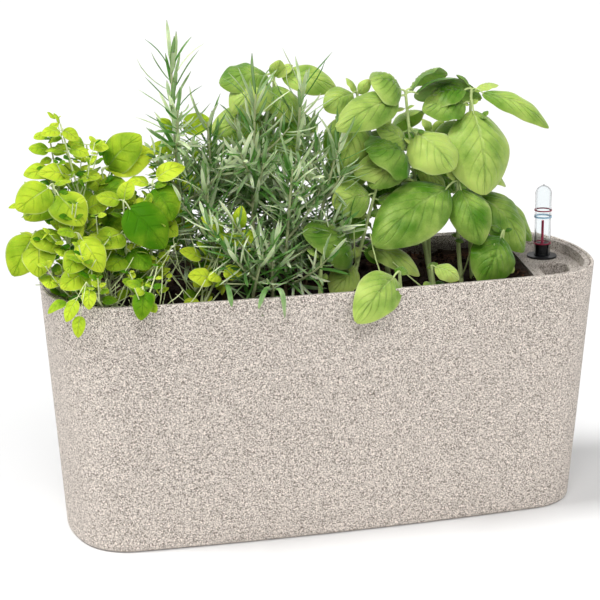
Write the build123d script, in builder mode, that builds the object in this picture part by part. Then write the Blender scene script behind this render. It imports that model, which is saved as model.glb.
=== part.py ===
"""Self-watering indoor herb planter with a water level indicator, potting soil and three herbs.

The origin is the middle of the base, +X runs along the planter to the indicator's end,
+Y to the back and +Z up. Sizes are in millimetres.
"""
import os
from math import ceil, cos, radians, sin

from build123d import *

os.makedirs("parts", exist_ok=True)

# Outer planter
planter_length = 400.0
planter_width = 150.0
planter_height = 180.0
base_inset = 12.0  # how far each wall draws in from rim to base
end_bow = 20.0  # rise of the curved ends
side_bow = 6.0  # rise of the curved long sides
corner_radius = 50.0  # at the rim
outer_wall = 3.4
outer_floor = 3.6
foot_radius = 3.0
rim_width = 2.0
rim_edge = 0.7
ledge_depth = 6.0  # step inside the rim that carries the liner
cut_past = 1.0  # how far a cut runs past the face it opens

# Planting liner
liner_gap = 0.6  # to the outer planter's wall
lip_gap = 0.8  # to the outer planter's rim
liner_wall = 2.2
liner_floor = 2.5
reservoir_height = 44.0  # from the outer floor to the liner's underside
deck_drop = 8.0  # deck below the rim
deck_wall = 2.4
shaft_length = 46.0  # from the end of the rim to the bulkhead
bulkhead_slope = 0.157  # how far the bulkhead leans to the right per unit of depth
deck_edge = 1.6

# Fill chute in the deck
chute_land = 9.0
chute_depth = 40.0
chute_wall = 2.0
chute_corner = 7.0
chute_setback = 19.0  # its back edge in front of the indicator's axis

# Water level indicator
indicator_inset = 26.0  # axis to the end of the rim
indicator_back = 11.0  # axis behind the planter's long axis
flange_diameter = 22.0
flange_height = 1.4
window_diameter = 12.0
window_wall = 0.9
window_height = 53.3  # above the flange
sleeve_height = 8.6  # above the flange
sleeve_gap = 0.1
rod_diameter = 1.9
rod_guide_gap = 0.5
socket_depth = 10.0
socket_gap = 0.1
ring_height = 0.9
ring_depth = 0.5
ring_gap = 0.05
opt_ring_height = 1.3
min_mark = 9.3  # middle of the ring above the flange
opt_mark = 29.3
max_mark = 34.2
pointer_mark = 26.2  # pointer's tip above the flange at rest

# Float and its tube
float_tube_diameter = 16.0
float_tube_wall = 1.2
float_gap = 0.6
float_height = 14.0
float_rest = 25.0  # underside above the outer floor at rest
tube_clear = 4.0  # foot of the tube above the outer floor
tube_hole_gap = 0.3
cap_height = 3.0
cap_floor = 1.2
cap_gap = 0.1
collar_wall = 2.2
collar_depth = 12.0
slot_width = 3.0
slot_height = 30.0
slot_count = 4

# Wick baskets
basket_top = 60.0
basket_foot = 48.0
basket_wall = 1.8
basket_flange = 4.0
basket_rim = 1.5
basket_gap = 0.3
basket_clear = 2.0  # foot above the outer floor
basket_spacing = 150.0
basket_middle = -20.0
basket_slot_width = 3.0
basket_slot_count = 12
basket_slot_margin = 8.0

# Potting soil
soil_drop = 20.0  # soil below the rim
soil_gap = 0.3
root_depth = 12.0
root_gap = 0.2

# Plants
blade_thickness = 0.8
basil_stem = 3.6
basil_petiole = 1.8
oregano_stem = 2.0
oregano_petiole = 1.2
rosemary_stem = 3.0
needle_width = 1.8
needle_thickness = 1.0
needle_length = 30.0
needle_lean = 54.0  # degrees from the stem
needle_pitch = 6.5  # along the stem, from one pair to the next
needle_start = 0.28  # share of the stem below the first pair
needle_close = 0.6  # share of the lean that is gone at the stem's tip
crown_share = 0.65  # radius of a stem's crown per unit of its diameter
crown_split = 0.15  # gap from the crown's middle to the stem's two ends in it, per unit of its diameter
petiole_share = 0.14  # of a leaf's reach before its blade begins
stalk_share = 0.2  # of the blade that the stalk runs under
blade_arch = 0.13  # rise of the blade's fold per unit of its length
blade_fold = 0.45  # share of the blade's length before its fold
blade_widest = 0.42  # share of the blade's length before its widest place
blade_shoulder = (0.13, 0.34)  # outline before the widest place, per unit of length and width
blade_flank = (0.75, 0.31)  # outline past the widest place, per unit of length and width
face_turn = 20.0  # reach to the back that turns a leaf's face fully to the back
face_lean = 0.4  # how far a leaf that reaches sideways leans its face to the front
face_up = 0.8
plant_gap = 0.5  # leaves to the planter's rim
lift_gap = 2.5  # leaves to the indicator's way out

outer_floor_top = outer_floor
liner_bottom = outer_floor_top + reservoir_height
liner_floor_top = liner_bottom + liner_floor
liner_outer = outer_wall + liner_gap
liner_inner = liner_outer + liner_wall
ledge_top = planter_height - ledge_depth
deck_top = planter_height - deck_drop
deck_bottom = deck_top - deck_wall
soil_top = planter_height - soil_drop
indicator_x = planter_length / 2 - indicator_inset
bulkhead_x = planter_length / 2 - shaft_length
flange_top = deck_top + flange_height
tube_foot = outer_floor_top + tube_clear
bulkhead = Plane(origin=(bulkhead_x, 0, 0), z_dir=(1, -bulkhead_slope, 0))
indicator_axis = (indicator_x, indicator_back)
basket_places = [(basket_middle - basket_spacing / 2, 0), (basket_middle + basket_spacing / 2, 0)]


def plan(height, inset):
    """Draw the planter's outline at a height, moved in from the outer face by an inset."""
    draw_in = base_inset * (1 - height / planter_height) + inset
    half_length = planter_length / 2 - draw_in
    half_width = planter_width / 2 - draw_in
    corner_x = half_length - end_bow
    corner_y = half_width - side_bow
    with BuildSketch(Plane.XY.offset(height)) as outline:
        with BuildLine():
            ThreePointArc((-corner_x, -corner_y), (0, -half_width), (corner_x, -corner_y))
            ThreePointArc((corner_x, -corner_y), (half_length, 0), (corner_x, corner_y))
            ThreePointArc((corner_x, corner_y), (0, half_width), (-corner_x, corner_y))
            ThreePointArc((-corner_x, corner_y), (-half_length, 0), (-corner_x, -corner_y))
        make_face()
        fillet(outline.vertices(), corner_radius - draw_in)
    return outline.sketch


def tub(low, high, inset):
    """Loft a solid that follows the planter's tapering walls between two heights."""
    with BuildPart() as block:
        loft([plan(low, inset), plan(high, inset)], ruled=True)
    return block.part


def chute_block(low, high, grow):
    """Make the fill chute's space between two heights, grown on every side."""
    with BuildPart() as block:
        extrude(plan(high, liner_inner + chute_land - grow), amount=low - high)
        split(bisect_by=bulkhead.offset(chute_land - grow), keep=Keep.TOP)
        back = Plane(origin=(0, indicator_back - chute_setback + grow, 0), z_dir=(0, 1, 0))
        split(bisect_by=back, keep=Keep.BOTTOM)
        fillet(block.edges().filter_by(Axis.Z), chute_corner + grow)
    return block.part


# Outer planter: a tapered tub with a stepped rim
with BuildPart() as outer_planter:
    add(tub(0, planter_height, 0))
    fillet(outer_planter.faces().sort_by(Axis.Z)[0].edges(), foot_radius)
    add(tub(outer_floor_top, planter_height + cut_past, outer_wall), mode=Mode.SUBTRACT)
    add(tub(ledge_top, planter_height + cut_past, rim_width), mode=Mode.SUBTRACT)
    fillet(outer_planter.faces().sort_by(Axis.Z)[-1].edges(), rim_edge)

# Planting liner: soil space, shaft behind a bulkhead, deck with the fill chute and the indicator's hole
liner_hollow = tub(liner_bottom - cut_past, planter_height, liner_inner)

with BuildPart() as soil_space:
    add(liner_hollow)
    split(bisect_by=Plane.XY.offset(liner_floor_top), keep=Keep.TOP)
    split(bisect_by=bulkhead, keep=Keep.BOTTOM)

with BuildPart() as deck_space:
    add(liner_hollow)
    split(bisect_by=Plane.XY.offset(deck_top), keep=Keep.TOP)

with BuildPart() as shaft_space:
    add(liner_hollow)
    split(bisect_by=Plane.XY.offset(deck_bottom), keep=Keep.BOTTOM)
    split(bisect_by=bulkhead.offset(liner_wall), keep=Keep.TOP)

chute_skirt = chute_block(deck_bottom - chute_depth, deck_bottom, chute_wall)
chute_space = chute_block(deck_bottom - chute_depth - cut_past, deck_top + cut_past, 0)
collar_radius = float_tube_diameter / 2 + tube_hole_gap + collar_wall

with BuildPart() as planting_liner:
    add(tub(liner_bottom, planter_height - lip_gap, liner_outer))
    add(tub(ledge_top, planter_height - lip_gap, rim_width + lip_gap))
    add(deck_space.part, mode=Mode.SUBTRACT)
    add(soil_space.part, mode=Mode.SUBTRACT)
    add(shaft_space.part, mode=Mode.SUBTRACT)
    add(chute_skirt)
    with BuildSketch(Plane.XY.offset(deck_bottom)):
        with Locations(indicator_axis):
            Circle(collar_radius)
    extrude(amount=-collar_depth)
    add(chute_space, mode=Mode.SUBTRACT)
    with Locations((indicator_x, indicator_back, deck_top)):
        Hole(float_tube_diameter / 2 + tube_hole_gap, depth=deck_wall + collar_depth + cut_past)
    with Locations([(x, y, liner_floor_top) for x, y in basket_places]):
        Hole(basket_top / 2 + basket_gap, depth=liner_floor + cut_past)
    level = planting_liner.faces().filter_by(Plane.XY)
    deck = level.filter_by_position(Axis.Z, deck_top - deck_wall / 2, deck_top + deck_wall / 2)
    fillet(deck.sort_by(SortBy.AREA)[-1].inner_wires().edges(), deck_edge)

# Wick baskets: slotted cups that hang through the liner's floor into the water
basket_low = outer_floor_top + basket_clear
basket_high = liner_floor_top
basket_drop = basket_high - basket_low


def wick_basket(place):
    """Make one basket with its flange on the liner's floor."""
    with BuildPart() as basket:
        with BuildSketch(Plane.XZ):
            with BuildLine():
                Polyline(
                    (0, basket_low),
                    (basket_foot / 2, basket_low),
                    (basket_top / 2, basket_high),
                    (basket_top / 2 + basket_flange, basket_high),
                    (basket_top / 2 + basket_flange, basket_high + basket_rim),
                    (basket_top / 2 - basket_wall, basket_high + basket_rim),
                    (basket_foot / 2 - basket_wall, basket_low + basket_wall),
                    (0, basket_low + basket_wall),
                    close=True,
                )
            make_face()
        revolve(axis=Axis.Z)
        slot_length = basket_drop - 2 * basket_slot_margin
        with BuildSketch(Plane.XY.offset(basket_low + basket_slot_margin)):
            with PolarLocations(basket_top / 2, basket_slot_count):
                Rectangle(basket_top / 2, basket_slot_width)
        extrude(amount=slot_length, mode=Mode.SUBTRACT)
    return basket.part.moved(Location((*place, 0)))


wick_basket_left = wick_basket(basket_places[0])
wick_basket_right = wick_basket(basket_places[1])

# Water level indicator: flanged base, float tube with an end cap, clear window and marker rings
socket_radius = float_tube_diameter / 2 - float_tube_wall - socket_gap
window_bore = window_diameter / 2 - window_wall
guide_radius = rod_diameter / 2 + rod_guide_gap

with BuildPart() as indicator_base:
    with BuildSketch(Plane.XY.offset(deck_top)):
        with Locations(indicator_axis):
            Circle(flange_diameter / 2)
    extrude(amount=flange_height)
    with BuildSketch(Plane.XY.offset(flange_top)):
        with Locations(indicator_axis):
            Circle(window_bore - sleeve_gap)
    extrude(amount=sleeve_height)
    with BuildSketch(Plane.XY.offset(deck_top)):
        with Locations(indicator_axis):
            Circle(socket_radius)
    extrude(amount=-socket_depth)
    with Locations((indicator_x, indicator_back, flange_top + sleeve_height)):
        Hole(guide_radius, depth=sleeve_height + flange_height + socket_depth + cut_past)

with BuildPart() as float_tube:
    with BuildSketch(Plane.XY.offset(tube_foot)):
        with Locations(indicator_axis):
            Circle(float_tube_diameter / 2)
            Circle(float_tube_diameter / 2 - float_tube_wall, mode=Mode.SUBTRACT)
    extrude(amount=deck_top - tube_foot)
    with BuildSketch(Plane.XY.offset(tube_foot + cap_height + cap_floor)):
        with Locations(indicator_axis):
            with PolarLocations(float_tube_diameter / 2, slot_count):
                Rectangle(float_tube_diameter / 2, slot_width)
    extrude(amount=slot_height, mode=Mode.SUBTRACT)

with BuildPart() as float_tube_cap:
    with BuildSketch(Plane.XY.offset(tube_foot - cap_floor)):
        with Locations(indicator_axis):
            Circle(float_tube_diameter / 2)
    extrude(amount=cap_floor)
    with BuildSketch(Plane.XY.offset(tube_foot)):
        with Locations(indicator_axis):
            Circle(float_tube_diameter / 2 - float_tube_wall - cap_gap)
    extrude(amount=cap_height)

dome_radius = window_diameter / 2
window_top = flange_top + window_height
with BuildPart() as indicator_window:
    with BuildSketch(Plane(origin=(indicator_x, indicator_back, 0), x_dir=(1, 0, 0), z_dir=(0, -1, 0))):
        with BuildLine():
            Line((window_bore, flange_top), (dome_radius, flange_top))
            Line((dome_radius, flange_top), (dome_radius, window_top - dome_radius))
            RadiusArc((dome_radius, window_top - dome_radius), (0, window_top), -dome_radius)
            Line((0, window_top), (0, window_top - window_wall))
            RadiusArc((0, window_top - window_wall), (window_bore, window_top - dome_radius), window_bore)
            Line((window_bore, window_top - dome_radius), (window_bore, flange_top))
        make_face()
    revolve(axis=Axis((indicator_x, indicator_back, 0), (0, 0, 1)))


def marker_ring(mark, height):
    """Make a ring around the window, its middle at a mark above the flange."""
    with BuildPart() as ring:
        with BuildSketch(Plane.XY.offset(flange_top + mark - height / 2)):
            with Locations(indicator_axis):
                Circle(dome_radius + ring_gap + ring_depth)
                Circle(dome_radius + ring_gap, mode=Mode.SUBTRACT)
        extrude(amount=height)
    return ring.part


min_ring = marker_ring(min_mark, ring_height)
optimum_ring = marker_ring(opt_mark, opt_ring_height)
max_ring = marker_ring(max_mark, ring_height)

float_bottom = outer_floor_top + float_rest
with BuildPart() as water_float:
    with BuildSketch(Plane.XY.offset(float_bottom)):
        with Locations(indicator_axis):
            Circle(float_tube_diameter / 2 - float_tube_wall - float_gap)
    extrude(amount=float_height)
    fillet(water_float.edges(), float_gap)

rod_bottom = float_bottom + float_height
with BuildPart() as pointer_rod:
    with BuildSketch(Plane.XY.offset(rod_bottom)):
        with Locations(indicator_axis):
            Circle(rod_diameter / 2)
    extrude(amount=flange_top + pointer_mark - rod_bottom)

# Herbs. A shoot is its root, as shares of the half-length and half-width, then its lean along X and Y,
# its height above the soil and its leaves. A leaf is its place on the stem, as a share of the height,
# then its tip from there along X, Y and Z, and its width.
basil_shoots = {
    "basil_front": (0.525, -0.07, -6, -5, 78, [
        (1.0, -72, -32, -32, 44), (1.0, 7, -30, -40, 30), (0.97, 9, -4, 14, 9), (0.97, -9, 4, 13, 9),
        (0.86, -10, 38, 8, 30)]),
    "basil_tall_right": (0.588, 0.08, -3, 2, 141, [
        (0.95, 1, -36, -63, 48), (1.0, -33, 6, -7, 30), (1.0, 51, -27, -24, 17), (0.98, 21, 2, 6, 12),
        (1.0, -8, 8, 10, 10), (0.93, -37, -4, -3, 30), (0.5, 36, -28, -44, 36), (0.5, 54, -2, -43, 24),
        (0.8, -8, 44, -12, 34), (0.66, 20, 40, -6, 34), (0.62, -34, 30, -8, 30), (0.42, 34, -12, -20, 20),
        (0.6, 32, 2, -15, 18)]),
    "basil_tall_middle": (0.42, 0.0, -19, 8, 141, [
        (0.98, -58, -26, -13, 28), (1.0, -16, -8, 20, 34), (0.99, 60, 16, -5, 30), (1.0, 40, 24, 8, 26),
        (0.82, 23, -34, -24, 38), (0.66, -38, -26, 12, 42), (0.72, -27, -8, 17, 24),
        (0.6, -48, -18, 8, 28), (0.64, 22, -13, -19, 16), (0.7, -36, -23, -21, 24),
        (0.75, -20, 42, -10, 34), (0.52, 12, 44, -12, 34), (0.88, 12, 38, -16, 30),
        (0.5, -22, -18, -12, 20)]),
    "basil_tall_left": (0.285, 0.2, -25, 3, 141, [
        (1.0, -28, -12, -7, 22), (0.92, -20, -24, -40, 38), (0.97, 20, -16, -17, 22),
        (0.85, 6, 40, -6, 32), (0.75, -28, -17, -36, 32), (0.7, 14, -18, -16, 20), (0.98, -6, 5, 13, 10),
        (0.98, 8, -3, 12, 9)]),
    "basil_low_middle": (0.1, -0.11, 18, -2, 76, [
        (0.95, -34, -16, 0, 28), (0.32, -44, -30, 32, 38), (0.4, 19, -14, 4, 18),
        (0.3, -23, -18, -16, 22), (0.45, 35, -30, -14, 19), (0.97, 8, -2, 12, 9), (0.97, -6, 6, 13, 9),
        (0.9, -8, 36, 4, 30), (1.0, 34, 10, 3, 18), (0.9, 25, -2, -4, 18)]),
    "basil_sprout_left": (-0.05, -0.48, 1, 0, 36, [
        (1.0, 9, -4, 7, 11), (1.0, -10, 2, 6, 11), (0.9, 2, 11, 5, 10)]),
    "basil_sprout_front": (0.225, -0.7, -4, -4, 27, [
        (1.0, -41, -31, -20, 31), (0.9, 6, 11, 3, 10)]),
    "basil_low_right": (0.64, -0.27, 3, 0, 42, [
        (1.0, -25, -26, -30, 34), (0.9, 6, 11, 4, 10)]),
    "basil_sprout_right": (0.37, -0.54, -5, -2, 26, [
        (1.0, 17, -12, -8, 15), (0.85, 4, 9, 4, 8)]),
    "basil_back_left": (-0.1, 0.56, -2, 3, 152, [
        (1.0, -41, -11, -2, 30), (1.0, 45, -9, -11, 24), (0.97, -34, -23, -16, 32),
        (0.97, 6, -21, -26, 28), (0.98, 3, -6, 14, 12), (0.98, 12, -4, 11, 12), (0.8, -48, -21, -5, 30),
        (0.76, 29, -15, 2, 24), (0.72, 13, -23, -16, 26), (0.5, -26, -21, 1, 28), (0.9, -10, 32, -10, 32),
        (0.66, 25, 30, -10, 34), (0.6, -32, 26, -8, 32), (0.45, 0, 32, -12, 30)]),
    "basil_back_right": (0.48, 0.56, 4, 6, 104, [
        (1.0, 30, 22, -8, 32), (1.0, -34, 14, -6, 32), (0.97, 6, -5, 12, 9), (0.97, -6, 6, 12, 9),
        (0.76, 8, 32, -14, 34), (0.72, 34, -4, -10, 26), (0.52, -26, 26, -10, 30),
        (0.9, 18, -18, -10, 20)]),
}

oregano_shoots = {
    "oregano_tall_front": (-0.75, -0.27, -33, 8, 134, [
        (1.0, -4, -3, 8, 7), (0.98, 10, -5, -8, 10), (0.97, -14, -5, -2, 10), (0.88, 14, -8, -4, 10),
        (0.86, -15, 4, 2, 11), (0.74, -24, -7, 5, 15), (0.72, 16, -9, 3, 14), (0.58, -20, -19, -8, 20),
        (0.56, 16, -6, 8, 16), (0.45, 8, -22, 2, 18), (0.45, -22, -8, 2, 18)]),
    "oregano_tall_back": (-0.84, -0.05, -22, 0, 126, [
        (1.0, -11, -4, 0, 9), (1.0, 6, -4, 8, 8), (0.92, -16, -4, 2, 11), (0.92, 10, -10, 0, 10),
        (0.8, -22, -6, -1, 16), (0.8, 16, -6, 0, 12), (0.66, -26, -14, -10, 22), (0.5, -16, -4, 16, 16),
        (0.6, 8, 20, -2, 16), (0.45, -10, 18, -4, 16)]),
    "oregano_middle": (-0.75, 0.16, -14, -8, 116, [
        (1.0, -13, -6, 4, 12), (1.0, 15, -4, -1, 13), (0.9, -10, -3, 5, 9), (0.72, -14, -20, 2, 20),
        (0.72, 22, -22, 3, 24), (0.5, -6, -28, 4, 24), (0.5, 16, -26, 6, 24), (0.8, 6, 20, 0, 16),
        (0.55, -12, 20, -4, 18), (0.4, -19, -25, 4, 22)]),
    "oregano_upright": (-0.67, 0.2, -20, -9, 98, [
        (0.98, 26, -8, 26, 28), (1.0, 36, -6, 10, 25), (0.85, -16, -3, 12, 14), (0.8, 17, -18, 0, 18),
        (0.7, 10, 22, -6, 18), (0.55, -10, 24, -6, 20), (0.6, -14, -17, 15, 18)]),
    "oregano_right": (-0.62, -0.2, 2, 3, 92, [
        (0.98, 12, -18, -22, 26), (1.0, 22, -2, 10, 18), (0.97, -18, 2, 2, 14), (0.85, -14, -8, -4, 13),
        (0.7, 16, -14, -8, 18), (0.6, -18, -12, 4, 17), (0.8, 6, 20, 0, 16)]),
    "oregano_broad": (-0.7, -0.4, -6, -4, 84, [
        (1.0, 24, -12, -33, 32), (1.0, -18, 0, 4, 14), (0.98, 6, 8, 14, 13), (0.75, -20, -15, -6, 20),
        (0.6, 14, -16, -10, 18), (0.55, -14, -18, -6, 18)]),
    "oregano_left": (-0.85, -0.4, -22, -2, 98, [
        (1.0, -24, -8, -16, 24), (0.96, 14, -18, -22, 26), (0.98, 12, 6, 3, 11), (0.8, 14, -12, -14, 17),
        (0.85, -24, 6, -8, 20), (0.6, -24, -8, 3, 19), (0.55, -8, -18, 0, 15), (0.9, -32, -2, -4, 5)]),
    "oregano_end": (-0.9, -0.2, -24, -9, 65, [
        (1.0, -18, -10, -27, 25), (0.92, -1, -21, -20, 24), (0.95, -20, 6, -10, 18), (0.9, 14, -6, 5, 12),
        (0.9, -10, 16, 2, 15), (0.5, -8, -28, 0, 18)]),
    "oregano_low": (-0.8, -0.55, -19, -5, 67, [
        (1.0, 14, -18, -22, 20), (1.0, -14, -5, 3, 11), (0.8, -14, -16, -8, 17), (0.75, 4, -17, -16, 17),
        (0.6, -20, -14, -6, 18)]),
    "oregano_hanging_left": (-0.78, -0.62, -22, -26, 40, [
        (1.0, -9, -10, -34, 9), (1.0, -16, -8, -23, 10), (0.9, -2, -8, -13, 10), (0.8, -31, -4, -10, 9)]),
    "oregano_hanging_front": (-0.66, -0.7, -10, -26, 36, [
        (1.0, -2, -10, -20, 14), (0.9, 3, -8, -9, 10), (0.95, -11, 1, 5, 9)]),
    "oregano_back": (-0.58, 0.32, 19, -2, 122, [
        (1.0, 23, -8, 4, 18), (0.95, -12, -6, 14, 9), (0.9, -21, -8, -3, 10), (0.85, -8, -8, 8, 10),
        (0.7, 24, -18, -6, 18), (0.66, -8, -18, 12, 17), (0.5, 16, -23, -4, 18), (0.45, 8, -21, 18, 18),
        (0.8, -6, 18, 2, 14)]),
    "oregano_creeping": (-0.52, -0.2, 38, -12, 56, [
        (1.0, 9, -6, -6, 14), (1.0, -6, -8, -9, 12), (0.85, -19, -4, 21, 13), (0.9, -13, -6, 5, 11),
        (1.0, 2, -2, 18, 11), (0.6, -14, -6, 18, 9), (0.6, -26, -6, 12, 11)]),
    "oregano_yellow": (-0.48, -0.44, 14, -8, 32, [
        (0.8, -20, -6, 8, 15), (1.0, 14, -5, -1, 13), (0.95, -8, -9, -2, 9), (0.7, 2, 12, 4, 10)]),
}

# A rosemary shoot is its root, its lean, its height above the soil and its first pair's bearing in degrees
rosemary_shoots = {
    "rosemary_tall": (-0.46, 0.07, -12, 0, 172, 20),
    "rosemary_left": (-0.33, 0.11, -12, 4, 126, 65),
    "rosemary_middle": (-0.24, 0.0, 2, 0, 146, 40),
    "rosemary_right": (-0.09, 0.07, 6, 0, 148, 10),
    "rosemary_leaning": (-0.08, -0.11, 26, -6, 112, 55),
    "rosemary_front": (-0.16, -0.3, 4, -8, 98, 30),
    "rosemary_low_right": (-0.22, -0.48, -2, -8, 46, 75),
    "rosemary_low_left": (-0.36, -0.11, -14, -6, 92, 15),
    "rosemary_back": (-0.15, 0.33, -4, 10, 124, 50),
    "rosemary_low_front": (-0.31, -0.53, 8, -9, 44, 25),
}


def root_point(shoot):
    """The place where a shoot leaves the soil."""
    return Vector(shoot[0] * planter_length / 2, shoot[1] * planter_width / 2, soil_top)


def stem_point(shoot, share):
    """A point on a shoot's stem, at a share of its height."""
    return root_point(shoot) + Vector(*shoot[2:5]) * share


def rod(start, end, diameter):
    """Make a round rod from one point to another."""
    axis = end - start
    with BuildPart() as piece:
        with BuildSketch(Plane(origin=start, z_dir=axis)):
            Circle(diameter / 2)
        extrude(amount=axis.length)
    return piece.part


def blade(base, tip, face, width):
    """Make a leaf's blade: an egg-shaped outline cut from a plate that is folded up towards its face."""
    axis = tip - base
    length = axis.length
    rise = length * blade_arch
    fold = length * blade_fold
    widest = (length * blade_widest, width / 2)
    shoulder = (length * blade_shoulder[0], width * blade_shoulder[1])
    flank = (length * blade_flank[0], width * blade_flank[1])
    flat = Plane(origin=base, x_dir=axis, z_dir=face - axis * (face.dot(axis) / length**2))
    side = Plane(origin=base, x_dir=axis, z_dir=flat.y_dir * -1)
    with BuildPart() as piece:
        with BuildSketch(side):
            with BuildLine():
                Polyline(
                    (0, 0),
                    (fold, rise),
                    (length, 0),
                    (length, blade_thickness),
                    (fold, rise + blade_thickness),
                    (0, blade_thickness),
                    close=True,
                )
            make_face()
        extrude(amount=width, both=True)
        with BuildSketch(flat):
            with BuildLine():
                ThreePointArc((0, 0), shoulder, widest)
                ThreePointArc(widest, flank, (length, 0))
                mirror(about=Plane.XZ)
            make_face()
        extrude(amount=length, both=True, mode=Mode.INTERSECT)
    return piece.part


def leaf_pieces(shoot, leaf, petiole):
    """Make a leaf's stalk and its blade, which faces up and the way that it reaches."""
    share, *reach, width = leaf
    start = stem_point(shoot, share)
    reach = Vector(*reach)
    base = start + reach * petiole_share
    tip = start + reach
    outward = max(-1.0, min(1.0, reach.Y / face_turn - face_lean))
    face = Vector(0, outward, face_up)
    axis = tip - base
    upward = (face - axis * (face.dot(axis) / axis.length**2)).normalized()
    rise = axis.length * blade_arch * stalk_share / blade_fold
    stalk_end = base + axis * stalk_share + upward * rise
    return [rod(start, stalk_end, petiole), blade(base, tip, face, width)]


def stem_pieces(shoot, diameter):
    """Make a shoot's root end, which stands in the soil, its crown just above the soil and its stem."""
    foot = root_point(shoot)
    middle = foot + Vector(0, 0, diameter)
    top = stem_point(shoot, 1)
    with BuildPart() as crown:
        with Locations(middle):
            Sphere(diameter * crown_share)
    return [
        rod(foot - Vector(0, 0, root_depth), middle - Vector(0, 0, diameter * crown_split), diameter),
        crown.part,
        rod(middle + (top - middle).normalized() * (diameter * crown_split), top, diameter),
    ]


def leafy_shoot(shoot, diameter, petiole):
    """Collect the pieces of a shoot with leaves."""
    pieces = stem_pieces(shoot, diameter)
    for leaf in shoot[5]:
        pieces += leaf_pieces(shoot, leaf, petiole)
    return pieces


def needle(start, direction):
    """Make one needle as a four-sided strand."""
    with BuildPart() as piece:
        with BuildSketch(Plane(origin=start, z_dir=direction)):
            Rectangle(needle_width, needle_thickness)
        extrude(amount=needle_length)
    return piece.part


def needled_shoot(shoot):
    """Collect the pieces of a shoot with pairs of needles, each pair turned a quarter from the last."""
    pieces = stem_pieces(shoot, rosemary_stem)
    height = Vector(*shoot[2:5]).length
    count = ceil(height * (1 - needle_start) / needle_pitch)
    for pair in range(count + 1):
        share = needle_start + (1 - needle_start) * pair / count
        lean = radians(needle_lean * (1 - needle_close * pair / count))
        for side in (0, 180):
            bearing = radians(shoot[5] + 90 * pair + side)
            aim = Vector(sin(lean) * cos(bearing), sin(lean) * sin(bearing), cos(lean))
            pieces.append(needle(stem_point(shoot, share), aim))
    return pieces


def apart(one, two):
    """Say whether the boxes around two parts are apart."""
    first, second = one.bounding_box(), two.bounding_box()
    low = (max(first.min.X, second.min.X), max(first.min.Y, second.min.Y), max(first.min.Z, second.min.Z))
    high = (min(first.max.X, second.max.X), min(first.max.Y, second.max.Y), min(first.max.Z, second.max.Z))
    return any(a > b for a, b in zip(low, high))


# Leaves stay off the rim and out of the indicator's way
with BuildPart() as rim_guard:
    add(tub(soil_top / 2, planter_height + plant_gap, -plant_gap))
    add(tub(soil_top / 2, planter_height + cut_past, liner_inner + plant_gap), mode=Mode.SUBTRACT)
with BuildPart() as lift_guard:
    with BuildSketch(Plane.XY.offset(deck_top)):
        with Locations(indicator_axis):
            Circle(flange_diameter / 2 + lift_gap)
    extrude(amount=planter_height)

shoots = {}
stem_sizes = {}
for name, shoot in basil_shoots.items():
    shoots[name] = leafy_shoot(shoot, basil_stem, basil_petiole)
    stem_sizes[name] = (root_point(shoot), basil_stem)
for name, shoot in rosemary_shoots.items():
    shoots[name] = needled_shoot(shoot)
    stem_sizes[name] = (root_point(shoot), rosemary_stem)
for name, shoot in oregano_shoots.items():
    shoots[name] = leafy_shoot(shoot, oregano_stem, oregano_petiole)
    stem_sizes[name] = (root_point(shoot), oregano_stem)

plants = {}
for name, pieces in shoots.items():
    with BuildPart() as plant:
        add(pieces)
        neighbours = [rim_guard.part, lift_guard.part, *plants.values()]
        near = [other for other in neighbours if not apart(other, plant.part)]
        if near:
            add(near, mode=Mode.SUBTRACT)
    plants[name] = plant.part.solids().sort_by(SortBy.VOLUME)[-1]

# Potting soil: fills the liner up to the bulkhead, down into the baskets, with a hole for each root
plug_top = basket_top / 2 - basket_wall - soil_gap
plug_foot = basket_foot / 2 - basket_wall - soil_gap
plug_low = basket_low + basket_wall + soil_gap
soil_low = basket_high + basket_rim
with BuildPart() as potting_soil:
    add(tub(soil_low, soil_top, liner_inner + soil_gap))
    split(bisect_by=bulkhead.offset(-soil_gap), keep=Keep.BOTTOM)
    for place in basket_places:
        with BuildSketch(Plane.XY.offset(soil_low)):
            with Locations(place):
                Circle(plug_top)
        with BuildSketch(Plane.XY.offset(plug_low)):
            with Locations(place):
                Circle(plug_foot)
        loft(ruled=True)
    for foot, diameter in stem_sizes.values():
        with Locations(foot):
            Hole(diameter / 2 + root_gap, depth=root_depth)

pieces = {
    "outer_planter": outer_planter.part,
    "planting_liner": planting_liner.part,
    "wick_basket_left": wick_basket_left,
    "wick_basket_right": wick_basket_right,
    "potting_soil": potting_soil.part,
    "indicator_base": indicator_base.part,
    "float_tube": float_tube.part,
    "float_tube_cap": float_tube_cap.part,
    "indicator_window": indicator_window.part,
    "min_ring": min_ring,
    "optimum_ring": optimum_ring,
    "max_ring": max_ring,
    "water_float": water_float.part,
    "pointer_rod": pointer_rod.part,
    **plants,
}
for name, piece in pieces.items():
    piece.label = name
    export_step(piece, f"parts/{name}.step")
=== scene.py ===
"""Looks of a self-watering herb planter: speckled shells, soil, level indicator, herbs and a studio."""

import math

import bpy
import numpy as np
from mathutils import Matrix, Vector


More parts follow.
